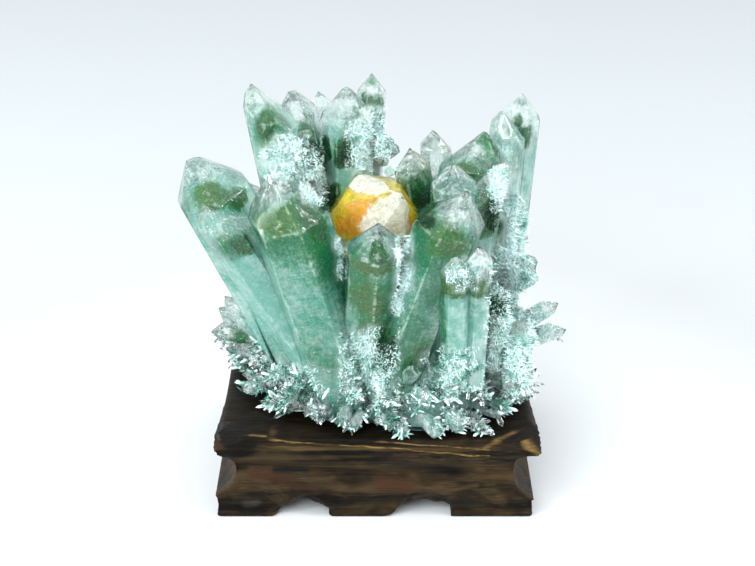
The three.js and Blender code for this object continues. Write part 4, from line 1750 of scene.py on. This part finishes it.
@dataclass
class NeedleField:
    """Many small needles, made as one mesh.

    Args:
        name: the piece's name.
        sides: how many sides a needle has.
        foot: width of its foot as a share of its own.
        shoulder: where its tip starts, as a share of its length; a spike has none.
        sunk: how far its foot is sunk, as a share of its length.
    """

    name: str
    sides: int = 6
    foot: float = 0.9
    shoulder: float = 0.72
    sunk: float = 0.18

    def build(self, roots: np.ndarray, ways: np.ndarray, lengths: np.ndarray, widths: np.ndarray,
              tones: np.ndarray) -> bpy.types.Object:
        """Makes the needles.

        Args:
            roots: where each stands, in millimetres.
            ways: which way each grows.
            lengths: their lengths, in millimetres.
            widths: their widths, in millimetres.
            tones: one number each, for its colour.

        Returns:
            The piece.
        """
        ways = ways / np.linalg.norm(ways, axis=1)[:, None]
        helper = np.where(np.abs(ways[:, 2:3]) < 0.9, (0.0, 0.0, 1.0), (1.0, 0.0, 0.0))
        first = np.cross(ways, helper)
        first /= np.linalg.norm(first, axis=1)[:, None]
        second = np.cross(ways, first)
        turns = np.arange(self.sides) / self.sides * math.tau + (tones * 7)[:, None]
        ring = (np.cos(turns)[:, :, None] * first[:, None] + np.sin(turns)[:, :, None] * second[:, None])
        ring *= (widths / 2)[:, None, None]
        along = (ways * lengths[:, None])[:, None]
        base = roots[:, None] - self.sunk * along + ring * self.foot
        rings = [base]
        reach = [np.zeros(self.sides)]
        if self.shoulder:
            rings.append(roots[:, None] + self.shoulder * along + ring)
            reach.append(np.full(self.sides, self.shoulder))
        places = np.concatenate([*rings, roots[:, None] + along], axis=1)
        reach = np.concatenate([*reach, [1.0]])
        last = len(reach) - 1
        upper = last - self.sides
        pattern = [list(range(self.sides))[::-1]]
        for side in range(self.sides):
            after = (side + 1) % self.sides
            if self.shoulder:
                pattern.append([side, after, upper + after, upper + side])
            pattern.append([upper + side, upper + after, last])
        starts = np.arange(len(roots)) * (last + 1)
        faces = [[number + start for number in face] for start in starts.tolist() for face in pattern]
        mesh = JoinedMesh()
        values = {"reach": np.tile(reach, len(roots)), "tone": np.repeat(tones, last + 1)}
        mesh.add(places.reshape(-1, 3) * MM, faces, values)
        return mesh.make(self.name)


@dataclass(frozen=True)
class Patch:
    """A patch of needles, as the camera sees it, in pixels of a picture 755 wide.

    Args:
        left: its left edge.
        top: its upper edge.
        right: its right edge.
        bottom: its lower edge.
        count: how many needles to try.
        length: their shortest and longest, in millimetres.
        tone: their colour, from 0, white, to 1, green.
        mossy: whether they are the dark green ones.
    """

    left: float
    top: float
    right: float
    bottom: float
    count: int
    length: tuple[float, float] = (1.2, 3.5)
    tone: float = 0.45
    mossy: bool = False


PATCHES: tuple[Patch, ...] = (
    Patch(260, 134, 326, 180, 8500, (0.4, 1.6), 0.16),
    Patch(300, 164, 331, 206, 3400, (0.4, 1.6), 0.16),
    Patch(344, 108, 404, 172, 6500, (0.4, 1.5), 0.12),
    Patch(334, 236, 347, 260, 700, (0.5, 1.8), 0.30),
    Patch(336, 256, 347, 282, 500, (0.5, 1.8), 0.50),
    Patch(395, 232, 411, 262, 1200, (0.5, 2.0), 0.12),
    Patch(396, 256, 413, 294, 1600, (0.5, 2.2), 0.12),
    Patch(391, 290, 404, 318, 700, (0.5, 2.0), 0.50),
    Patch(338, 326, 400, 404, 6500, (0.4, 1.7), 0.40),
    Patch(446, 257, 480, 291, 1300, (0.4, 1.3), 0.35),
    Patch(418, 346, 492, 405, 5500, (0.4, 1.7), 0.45),
    Patch(486, 166, 512, 214, 2400, (0.5, 1.9), 0.08),
    Patch(505, 194, 533, 262, 3600, (0.5, 2.2), 0.10),
    Patch(489, 246, 529, 306, 4200, (0.5, 2.2), 0.18),
    Patch(484, 262, 562, 402, 15000, (0.4, 1.8), 0.25),
    Patch(245, 362, 330, 404, 3500, (0.4, 1.7), 0.50),
    Patch(300, 138, 330, 165, 1500, (0.6, 1.6), 0.5, True),
    Patch(322, 186, 336, 212, 800, (0.6, 1.6), 0.5, True),
    Patch(337, 140, 352, 165, 500, (0.5, 1.3), 0.5, True),
    Patch(412, 186, 434, 228, 1300, (0.6, 1.6), 0.5, True),
    Patch(484, 193, 501, 236, 900, (0.6, 1.6), 0.5, True),
    Patch(488, 288, 514, 315, 700, (0.7, 1.8), 0.5, True),
    Patch(376, 328, 396, 372, 700, (0.7, 1.8), 0.5, True),
    Patch(238, 360, 268, 372, 300, (0.7, 1.8), 0.5, True),
)


@dataclass(frozen=True)
class Sort:
    """One sort of needle or crystal.

    Args:
        name: the name of the piece that they make up.
        outward: how much they lean away from the middle of the cluster.
        width: the width of one that is a millimetre long, in millimetres.
        spikes: whether they are plain spikes, and not six-sided crystals.
    """

    name: str
    outward: float
    width: float
    spikes: bool = True


CRUST = Sort("crust_needles", 0.4, 0.34)
CHUNKS = Sort("clear_chunks", 0.7, 0.55, spikes=False)
CRYSTALS = Sort("milky_crystals", 0.6, 0.42, spikes=False)
GAPS = Sort("gap_needles", 0.35, 0.28)
MOSSY = Sort("mossy_needles", 0.35, 0.28)


@dataclass
class Druse:
    """The fine needles that cover the rock and fill the gaps. Lengths are in millimetres.

    Args:
        hulls: all the points' planes.
        crust_count: how many needles to try around the base.
        crust_top: the height that the crust reaches.
        crust_fade: over how much of that height it thins out.
        crust_length: the shortest and longest of the crust.
        crystal_count: how many stout milky crystals to try around the base.
        crystal_length: their shortest and longest.
        chunk_count: how many stout clear crystals to try around the base.
        chunk_length: their shortest and longest.
        margin: how far they stay inside the part's box.
        open_tip: how far a tip must be outside all the points.
        upright: how much they stand square to a face.
        stray: how much their directions vary.
        shortness: how many more short ones there are than long ones.
        slimness: the power of the length that the width grows with.
        widths: the least and the greatest share of the usual width.
        tone_stray: how much the tone varies from one to the next.
        root_clearance: how far above the cluster's underside they stand.
        tip_clearance: how far above it their tips end.
        crust_tone: the tone of the crust on the right.
        left_tone: how much greener it is on the left.
        left_reach: how far left of the middle it is greenest.
        chunk_tone: the tone of the clear crystals.
        crystal_tone: the tone of the milky crystals.
        heart: the share of a patch in the picture that is full of needles.
        rim: the share around it where they thin out.
        milkiness: how much milk spreads in the quartz under the whitest needles.
        soaked: how far the quartz is coloured around the needles in the gaps.
        middle: the middle of the cluster's foot.
        drift: the layers of noise in their colour.
        random: where the variation comes from.
    """

    hulls: Hulls
    crust_count: int = 16000
    crust_top: float = 47.0
    crust_fade: float = 9.0
    crust_length: tuple[float, float] = (0.5, 2.2)
    crystal_count: int = 1900
    crystal_length: tuple[float, float] = (1.4, 4.4)
    chunk_count: int = 2400
    chunk_length: tuple[float, float] = (1.8, 5.6)
    margin: float = 0.3
    open_tip: float = 0.25
    upright: float = 0.7
    stray: float = 0.5
    shortness: float = 2.6
    slimness: float = 0.6
    widths: tuple[float, float] = (0.7, 1.3)
    tone_stray: float = 0.3
    root_clearance: float = 0.5
    tip_clearance: float = 0.4
    crust_tone: float = 0.56
    left_tone: float = 0.26
    left_reach: float = 20.0
    chunk_tone: float = 0.5
    crystal_tone: float = 0.3
    heart: float = 0.30
    rim: float = 0.85
    milkiness: float = 0.8
    soaked: float = 1.5
    middle: Triple = (2.0, 0.0, 34.0)
    drift: tuple[Triple, ...] = ((0.5, 0.13, 31.0), (0.7, 0.34, 37.0))
    random: np.random.Generator = field(default_factory=lambda: np.random.default_rng(93))
    triangles: np.ndarray = field(init=False)
    places: np.ndarray = field(init=False)
    tree: BVHTree = field(init=False)

    def __post_init__(self) -> None:
        """Reads the solid's triangles."""
        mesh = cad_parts[CLUSTER_NODE].data
        mesh.calc_loop_triangles()
        corners = np.empty(len(mesh.loop_triangles) * 3, dtype=np.int32)
        mesh.loop_triangles.foreach_get("vertices", corners)
        self.triangles = corners.reshape(-1, 3)
        self.places = get_places(mesh) / MM
        self.tree = BVHTree.FromPolygons(self.places.tolist(), self.triangles.tolist())

    def crust(self) -> tuple[np.ndarray, np.ndarray]:
        """Returns roots and face normals spread over the low parts of the solid."""
        first, second, third = (self.places[self.triangles[:, corner]] for corner in range(3))
        cross = np.cross(second - first, third - first)
        area = np.linalg.norm(cross, axis=1)
        middle = (first + second + third) / 3
        low = np.clip((self.crust_top - middle[:, 2]) / self.crust_fade, 0, 1)
        fade = low * np.clip(0.45 + 1.5 * noise_at(middle, 0.11), 0.06, 1)
        wanted = area * fade * (cross[:, 2] > -0.9 * area)
        chosen = self.random.choice(len(area), self.crust_count, p=wanted / wanted.sum())
        one, two = self.random.random((2, self.crust_count, 1))
        over = one + two > 1
        one, two = np.where(over, 1 - one, one), np.where(over, 1 - two, two)
        roots = first[chosen] + one * (second - first)[chosen] + two * (third - first)[chosen]
        return roots, (cross / np.maximum(area, 1e-9)[:, None])[chosen]

    def seen(self, patch: Patch) -> tuple[np.ndarray, np.ndarray]:
        """Returns roots and normals where rays through a patch of the picture meet the solid.

        Args:
            patch: the patch.
        """
        studio = Studio()
        eye = Vector(studio.camera_place) / MM
        pitch = math.radians(studio.pitch)
        forward = Vector((0, math.cos(pitch), -math.sin(pitch)))
        upward = Vector((0, math.sin(pitch), math.cos(pitch)))
        sideways = Vector((1, 0, 0))
        roots, normals = [], []
        middle_u, middle_v = studio.picture_width / 2, studio.picture_height / 2
        for across, down in self.random.random((patch.count, 2)):
            u = patch.left + across * (patch.right - patch.left)
            v = patch.top + down * (patch.bottom - patch.top)
            ray = forward * studio.focal_pixels + sideways * (u - middle_u) + upward * (middle_v - v)
            place, normal, _, _ = self.tree.ray_cast(eye, ray.normalized())
            if place is None:
                continue
            round_edge = math.hypot(2 * across - 1, 2 * down - 1) + 0.6 * noise.noise(place * 0.22)
            if round_edge < self.heart + self.rim * self.random.random():
                roots.append(tuple(place))
                normals.append(tuple(normal))
        return np.array(roots), np.array(normals)

    def plant(self, sort: Sort, roots: np.ndarray, normals: np.ndarray, shortest: np.ndarray | float,
              longest: np.ndarray | float, tone: np.ndarray | float) -> bpy.types.Object:
        """Makes one piece of needles, those whose tips end in the open.

        Args:
            sort: their sort.
            roots: where they may stand.
            normals: the faces' normals there.
            shortest: the shortest each may be.
            longest: the longest each may be.
            tone: how green they are, from 0 to 1.

        Returns:
            The piece.
        """
        random = self.random
        away = roots - np.array(self.middle)
        away /= np.linalg.norm(away, axis=1)[:, None]
        ways = self.upright * normals + sort.outward * away + self.stray * random.normal(size=roots.shape)
        ways /= np.linalg.norm(ways, axis=1)[:, None]
        lengths = shortest + (longest - shortest) * random.random(len(roots)) ** self.shortness
        thin, thick = self.widths
        widths = sort.width * lengths ** self.slimness * (thin + (thick - thin) * random.random(len(roots)))
        drift = layered_noise(roots, self.drift)
        tones = np.clip(tone + self.tone_stray * (random.random(len(roots)) - 0.5) + drift, 0, 1)
        tips = roots + ways * (lengths + self.margin)[:, None]
        low, high = (np.array(corner) / MM for corner in CAD_BOX)
        inside = ((tips > low + self.margin) & (tips < high - self.margin)).all(axis=1)
        kept = inside & (self.hulls.outside(tips) > self.open_tip)
        kept &= tips[:, 2] > CLUSTER_BOTTOM + self.tip_clearance
        kept &= roots[:, 2] > CLUSTER_BOTTOM + self.root_clearance
        shape = {"sides": 3, "foot": 1.6, "shoulder": 0.0} if sort.spikes else {}
        needles = NeedleField(sort.name, **shape)
        piece = needles.build(roots[kept], ways[kept], lengths[kept], widths[kept], tones[kept])
        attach(piece, BODY)
        LOG.info("%s: %d needles", sort.name, kept.sum())
        return piece

    def soak(self, shells: bpy.types.Object, dust: Dust, roots: np.ndarray,
             strengths: np.ndarray) -> None:
        """Spreads one kind of dust in the shells under some needles.

        Args:
            shells: the piece with the shells.
            dust: what spreads there; any but milk thins the milk.
            roots: where the needles stand, in millimetres.
            strengths: how much each spreads around it, from 0 to 1.
        """
        tree = KDTree(len(roots))
        for number, root in enumerate(roots.tolist()):
            tree.insert(root, number)
        tree.balance()
        nearest = [tree.find(place)[1:] for place in (get_places(shells.data) / MM).tolist()]
        number, away = (np.array(column) for column in zip(*nearest))
        around = strengths[number.astype(int)] * np.exp(-(away / self.soaked) ** 2)
        for kind in {dust, Dust.MILK}:
            layer = shells.data.attributes[kind.value].data
            values = np.empty(len(away), dtype=np.float32)
            layer.foreach_get("value", values)
            values = np.maximum(values, around) if kind is dust else values * (1 - around)
            layer.foreach_set("value", values.astype(np.float32))

    def build(self, shells: bpy.types.Object) -> list[bpy.types.Object]:
        """Makes all the needles and crystals, and colours the quartz under those in the gaps.

        Args:
            shells: the dusty shells that the needles in the gaps stand on.

        Returns:
            The pieces.
        """
        white = NeedleQuartz().material()
        mossy = MossyQuartz().material()
        roots, normals = self.crust()
        tone = self.crust_tone + self.left_tone * np.clip(-roots[:, 0] / self.left_reach, 0, 1)
        pieces = [self.plant(CRUST, roots, normals, *self.crust_length, tone)]
        chosen = slice(0, self.chunk_count)
        chunks = self.plant(CHUNKS, roots[chosen], normals[chosen], *self.chunk_length, self.chunk_tone)
        chosen = slice(self.chunk_count, self.chunk_count + self.crystal_count)
        milky = self.plant(CRYSTALS, roots[chosen], normals[chosen], *self.crystal_length, self.crystal_tone)
        pieces.append(milky)
        chunks.data.materials.append(ClearQuartz("clear_chunk").material())
        for sort in (GAPS, MOSSY):
            found = [(*self.seen(patch), patch) for patch in PATCHES if patch.mossy is (sort is MOSSY)]
            roots, normals = (np.concatenate([item[column] for item in found]) for column in (0, 1))
            counts = [len(item[0]) for item in found]
            columns = zip(*[(*patch.length, patch.tone) for _, _, patch in found])
            low, high, tone = (np.repeat(column, counts) for column in columns)
            pieces.append(self.plant(sort, roots, normals, low, high, tone))
            if sort is MOSSY:
                self.soak(shells, Dust.MOSS, roots, np.ones(len(roots)))
            else:
                self.soak(shells, Dust.MILK, roots, self.milkiness * (1 - tone))
        for piece, material in zip(pieces, (white, white, white, mossy)):
            piece.data.materials.append(material)
        return [*pieces, chunks]


@dataclass(frozen=True)
class FrontMark:
    """A streak or patch on the stand's front, in millimetres: worn lacquer, painted shade in the dark ones,
    and worn lacquer with a painted highlight in the gold ones.

    Args:
        mark_kind: what shows there.
        first: one end of its middle line, across and up.
        last: its other end.
        reach: half its height.
        strength: how strong the mark is, from 0 to 1.
    """

    mark_kind: WearShadeAndHighlight
    first: tuple[float, float]
    last: tuple[float, float]
    reach: float
    strength: float = 1.0


FRONT_MARKS: tuple[FrontMark, ...] = (
    # Gold: worn lacquer with a painted highlight along the top edge and the corners.
    FrontMark(WearShadeAndHighlight.GOLD, (-41, 30.5), (-36, 29.8), 0.9, 0.8),
    FrontMark(WearShadeAndHighlight.GOLD, (-38, 26.4), (32, 24.4), 2.0, 0.45),
    FrontMark(WearShadeAndHighlight.GOLD, (34, 25.0), (49, 35.0), 1.3, 0.7),
    FrontMark(WearShadeAndHighlight.GOLD, (47, 27.0), (53, 23.0), 1.6, 0.8),
    FrontMark(WearShadeAndHighlight.BROWN, (-46, 20.0), (-36, 24.0), 2.4, 0.6),
    FrontMark(WearShadeAndHighlight.BROWN, (31, 18.0), (44, 15.0), 6.0, 0.8),
    FrontMark(WearShadeAndHighlight.BROWN, (12, 6.0), (32, 12.0), 1.4, 0.8),
    FrontMark(WearShadeAndHighlight.BROWN, (-34, 0.0), (-27, 5.5), 1.0, 0.9),
    FrontMark(WearShadeAndHighlight.BROWN, (-27, 5.5), (-18, 4.0), 1.0, 0.9),
    FrontMark(WearShadeAndHighlight.RED, (-53, 26.0), (-49, 25.4), 1.6, 0.9),
    FrontMark(WearShadeAndHighlight.RED, (-40, 15.5), (-29, 14.5), 3.0, 0.9),
    FrontMark(WearShadeAndHighlight.RED, (-28, 12.0), (-21, 11.0), 2.0, 0.8),
    FrontMark(WearShadeAndHighlight.RED, (1, 12.0), (10, 11.0), 3.6, 0.9),
    # Painted shade in the coves and scoops of the front.
    FrontMark(WearShadeAndHighlight.DARK, (-33, 17.0), (-23, 17.0), 1.8, 0.9),
    FrontMark(WearShadeAndHighlight.DARK, (-2, 20.0), (30, 18.0), 2.8, 0.8),
    FrontMark(WearShadeAndHighlight.DARK, (15, 6.0), (30, 5.0), 3.4, 0.8),
    FrontMark(WearShadeAndHighlight.PALE, (-52, 32.0), (-51, 28.0), 1.0, 0.8),
    FrontMark(WearShadeAndHighlight.PALE, (-43, 4.0), (-39, 5.0), 2.4, 0.6),
)


RIDGES: tuple[tuple[tuple[float, float], ...], ...] = (
    ((-52, 9), (-45, 14), (-37, 13), (-32, 7), (-28, 2)),
    ((-40, 16), (-26, 15), (-16, 13), (-9, 8)),
    ((-20, 3), (-8, 8), (3, 11), (13, 10), (19, 5)),
    ((10, 5), (20, 10), (30, 13), (36, 10), (41, 4)),
    ((-46, 22), (-22, 20), (2, 18), (20, 20), (34, 17)),
    ((28, 21), (42, 17), (51, 9)),
)


def gap_to_line(across: np.ndarray, up: np.ndarray, first: tuple[float, float],
                last: tuple[float, float]) -> np.ndarray:
    """Returns how far each place on the front is from a straight line between two others.

    Args:
        across: the places' distance to the right.
        up: their height.
        first: one end of the line, across and up.
        last: its other end.
    """
    way = np.subtract(last, first)
    share = ((across - first[0]) * way[0] + (up - first[1]) * way[1]) / (way @ way)
    share = np.clip(share, 0, 1)
    return np.hypot(across - first[0] - share * way[0], up - first[1] - share * way[1])


@dataclass
class WoodStand:
    """The carved stand, refined from its solid.

    Args:
        voxel: size of the even mesh that the carving is done on, in metres.
        hollow: how deep the uneven carving goes, in millimetres.
        groove: how deep the fine lines under the top edge are, in millimetres.
        ridge_width: half the width of a ridge between the hollows, in millimetres.
        band_height: height of the lined band under the top edge, in millimetres.
        band_reach: half the height of that band.
    """

    voxel: float = 0.00075
    hollow: float = 1.7
    groove: float = 0.30
    ridge_width: float = 2.6
    band_height: float = 24.0
    band_reach: float = 3.2

    def carve(self, mesh: bpy.types.Mesh) -> None:
        """Lowers the surface in soft hollows and fine lines, only inwards, and stores how deep the hollows
        are for their painted shade.

        Args:
            mesh: the stand's mesh.
        """
        places = get_places(mesh) / MM
        normals = get_normals(mesh)
        soft = 0.75 + 0.3 * noise_at(places * (0.4, 0.8, 1.0), 0.16) + 0.3 * noise_at(places, 0.35, 12.0)
        for ridge in RIDGES:
            for first, last in zip(ridge, ridge[1:]):
                away = gap_to_line(places[:, 0], places[:, 2], first, last) / self.ridge_width
                soft = np.minimum(soft, 1 - 0.9 * np.exp(-away ** 2))
        lines = 0.5 + 0.5 * noise_at(places * (0.05, 1.0, 1.0), 1.1, 3.0)
        soft = np.clip(soft, 0, 1)
        height = places[:, 2]
        side = 1 - np.clip((normals[:, 2] - 0.2) / 0.5, 0, 1)
        band = np.exp(-((height - self.band_height) / self.band_reach) ** 4)
        # How deep the carving is, which the finish darkens as painted shade.
        set_values(mesh, "hollow", soft * (1 - band))
        depth = (self.hollow * soft + self.groove * lines * band) * side
        inner = np.clip((height - 0.3) / 1.5, 0, 1)
        set_places(mesh, (places - normals * (depth * inner)[:, None]) * MM)

    def mark(self, mesh: bpy.types.Mesh) -> None:
        """Stores where the lacquer is worn, where painted shade and highlight go, and where the top is,
        which the finish darkens as the cluster's painted shadow.

        Args:
            mesh: the stand's mesh.
        """
        places = get_places(mesh) / MM
        normals = get_normals(mesh)
        drift = 0.7 * noise_at(places * (0.5, 1.0, 1.0), 0.25, 7.0)
        front = np.clip((-30 - places[:, 1]) / 4, 0, 1)
        rise = 0.75 * np.maximum(places[:, 1] + 38, 0) * (places[:, 2] > 27)
        across, up = places[:, 0], places[:, 2] + drift + rise
        masks = {mark_kind: np.zeros(len(places)) for mark_kind in WearShadeAndHighlight}
        for worn in FRONT_MARKS:
            away = gap_to_line(across, up, worn.first, worn.last)
            strength = worn.strength * front * np.exp(-(away / worn.reach) ** 2)
            masks[worn.mark_kind] = np.maximum(masks[worn.mark_kind], strength)
        for mark_kind, mask in masks.items():
            set_values(mesh, mark_kind.value, mask)
        # The top, which the finish darkens as the cluster's painted shadow.
        set_values(mesh, "top", np.clip((normals[:, 2] - 0.6) / 0.3, 0, 1) * (places[:, 2] > 20))
        set_values(mesh, "front", front * (across < 36))

    def build(self) -> bpy.types.Object:
        """Makes the stand and gives it its finish."""
        stand = copy_of_node(STAND_NODE, "carved_stand")
        apply_modifier(stand, "even mesh", "REMESH", mode="VOXEL", voxel_size=self.voxel)
        apply_modifier(stand, "soft edges", "SMOOTH", factor=0.5, iterations=3)
        self.carve(stand.data)
        self.mark(stand.data)
        select_only(stand)
        bpy.ops.object.shade_smooth()
        stand.data.materials.append(CarvedWood().material())
        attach(stand, BODY)
        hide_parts(STAND_NODE)
        return stand


# The studio


@dataclass
class Studio:
    """A pale floor, soft light all round and the camera at the photograph's angle.

    Args:
        camera_place: where the camera stands.
        pitch: how far it looks down, in degrees.
        focal_pixels: its focal length, in pixels of a picture this wide.
        picture_width: the width of that picture, in pixels.
        picture_height: its height, in pixels.
        floor_size: side of the floor.
        floor_tones_and_light_pool: the floor's colour under the object, around it and further off; the
            brighter colour under the object is a painted pool of light that washes out its shadow.
        room_tones: the room's colour in front and low, and behind and above.
        aim: what the lamps face.
    """

    camera_place: Triple = (0.0, -0.48498, 0.29218)
    pitch: float = 25.0
    focal_pixels: float = 1613.0
    picture_width: float = 755.0
    picture_height: float = 566.0
    floor_size: float = 8.0
    floor_tones_and_light_pool: tuple[Colour, ...] = ((0.53, 0.557, 0.572), (0.415, 0.437, 0.448), (0.415, 0.447, 0.462))
    room_tones: tuple[Colour, Colour] = ((0.30, 0.33, 0.34), (1.38, 1.40, 1.41))
    aim: Triple = (0.0, 0.0, 0.06)

    def camera(self) -> None:
        """Adds the camera."""
        data = bpy.data.cameras.new("camera")
        data.sensor_width = 36.0
        data.lens = data.sensor_width * self.focal_pixels / self.picture_width
        data.clip_start = 0.01
        camera = bpy.data.objects.new("camera", data)
        camera.location = self.camera_place
        camera.rotation_euler = (math.radians(90 - self.pitch), 0, 0)
        bpy.context.scene.collection.objects.link(camera)
        bpy.context.scene.camera = camera

    def floor(self) -> None:
        """Adds the floor, with a painted pool of light under the object, and bluish further off."""
        bpy.ops.object.select_all(action="DESELECT")
        bpy.ops.mesh.primitive_plane_add(size=self.floor_size, location=(0, 0, CAD_BOX[0][2]))
        floor = bpy.context.active_object
        floor.name = "floor"
        finish = Finish("pale_floor")
        nodes = finish.nodes
        far = nodes.add("ShaderNodeVectorMath", {0: nodes.place()}, operation="LENGTH").outputs["Value"]
        under, around, beyond = self.floor_tones_and_light_pool
        # Painted pool of light: brighter under the object than around it, washing out the object's shadow.
        tone = nodes.mix(nodes.ramp(far, 0.09, 0.19), under, around)
        tone = nodes.mix(nodes.ramp(far, 0.16, 0.34), tone, beyond)
        finish.set(Base_Color=tone, Roughness=0.8, Specular_IOR_Level=0.2)
        floor.data.materials.append(finish.material)

    def light(self, name: str, place: Triple, size: float, power: float, glints: bool = False) -> None:
        """Adds a soft lamp that faces the object.

        Args:
            name: the lamp's name.
            place: where it hangs.
            size: side of its square.
            power: its power, in watts.
            glints: whether it shows as glints in smooth faces.
        """
        data = bpy.data.lights.new(name, "AREA")
        data.size = size
        data.energy = power
        lamp = bpy.data.objects.new(name, data)
        lamp.location = place
        lamp.visible_glossy = glints
        way = Vector(self.aim) - Vector(place)
        lamp.rotation_euler = way.to_track_quat("-Z", "Y").to_euler()
        bpy.context.scene.collection.objects.link(lamp)

    def world(self) -> None:
        """Lights the whole room softly, brighter above than in front."""
        world = bpy.data.worlds.new("soft_room")
        world.use_nodes = True
        tree = world.node_tree
        tree.nodes.clear()
        nodes = Nodes(tree)
        direction = nodes.add("ShaderNodeTexCoord").outputs["Generated"]
        split = nodes.add("ShaderNodeSeparateXYZ", {0: direction})
        back = nodes.ramp(split.outputs["Y"], -0.9, 0.5)
        up = nodes.ramp(split.outputs["Z"], 0.1, 0.9)
        level = nodes.most(back, up)
        colour = nodes.mix(level, *self.room_tones)
        shade = nodes.add("ShaderNodeBackground", {"Color": colour, "Strength": 1.0})
        output = nodes.add("ShaderNodeOutputWorld")
        nodes.connect(shade.outputs[0], output.inputs["Surface"])
        bpy.context.scene.world = world

    def build(self) -> None:
        """Builds the whole studio."""
        self.camera()
        self.floor()
        self.world()
        self.light("key_left", (-0.60, -1.00, 0.75), 1.2, 25.0)
        self.light("glint_right", (0.55, -0.2, 0.75), 0.12, 2.2, glints=True)
        self.light("glint_left", (-0.7, -0.5, 0.6), 0.15, 2.5, glints=True)
        self.light("fill_left", (-0.9, -0.1, 0.35), 0.6, 5.0)
        self.light("fill_right", (0.9, -0.3, 0.40), 0.6, 6.0)
        bpy.context.scene.view_settings.view_transform = "Standard"
        bpy.context.scene.cycles.use_denoising = True


def main() -> None:
    """Builds every piece in order and reports it."""
    logging.basicConfig(level=logging.INFO, format="%(name)s: %(message)s")
    Studio().build()
    growth = Growth()
    big, little = growth.grow()
    hulls = Hulls(big + little)
    cores = DustyCores().build(big)
    pieces = [
        WoodStand().build(),
        CrystalSkin(hulls.grown).build(hulls),
        Veils().build(little),
        *cores,
        DruseBody().build(growth),
        *Druse(hulls).build(cores[0]),
    ]
    for piece in pieces:
        LOG.info("%s: %d faces", piece.name, len(piece.data.polygons))


if __name__ == "__main__":
    main()
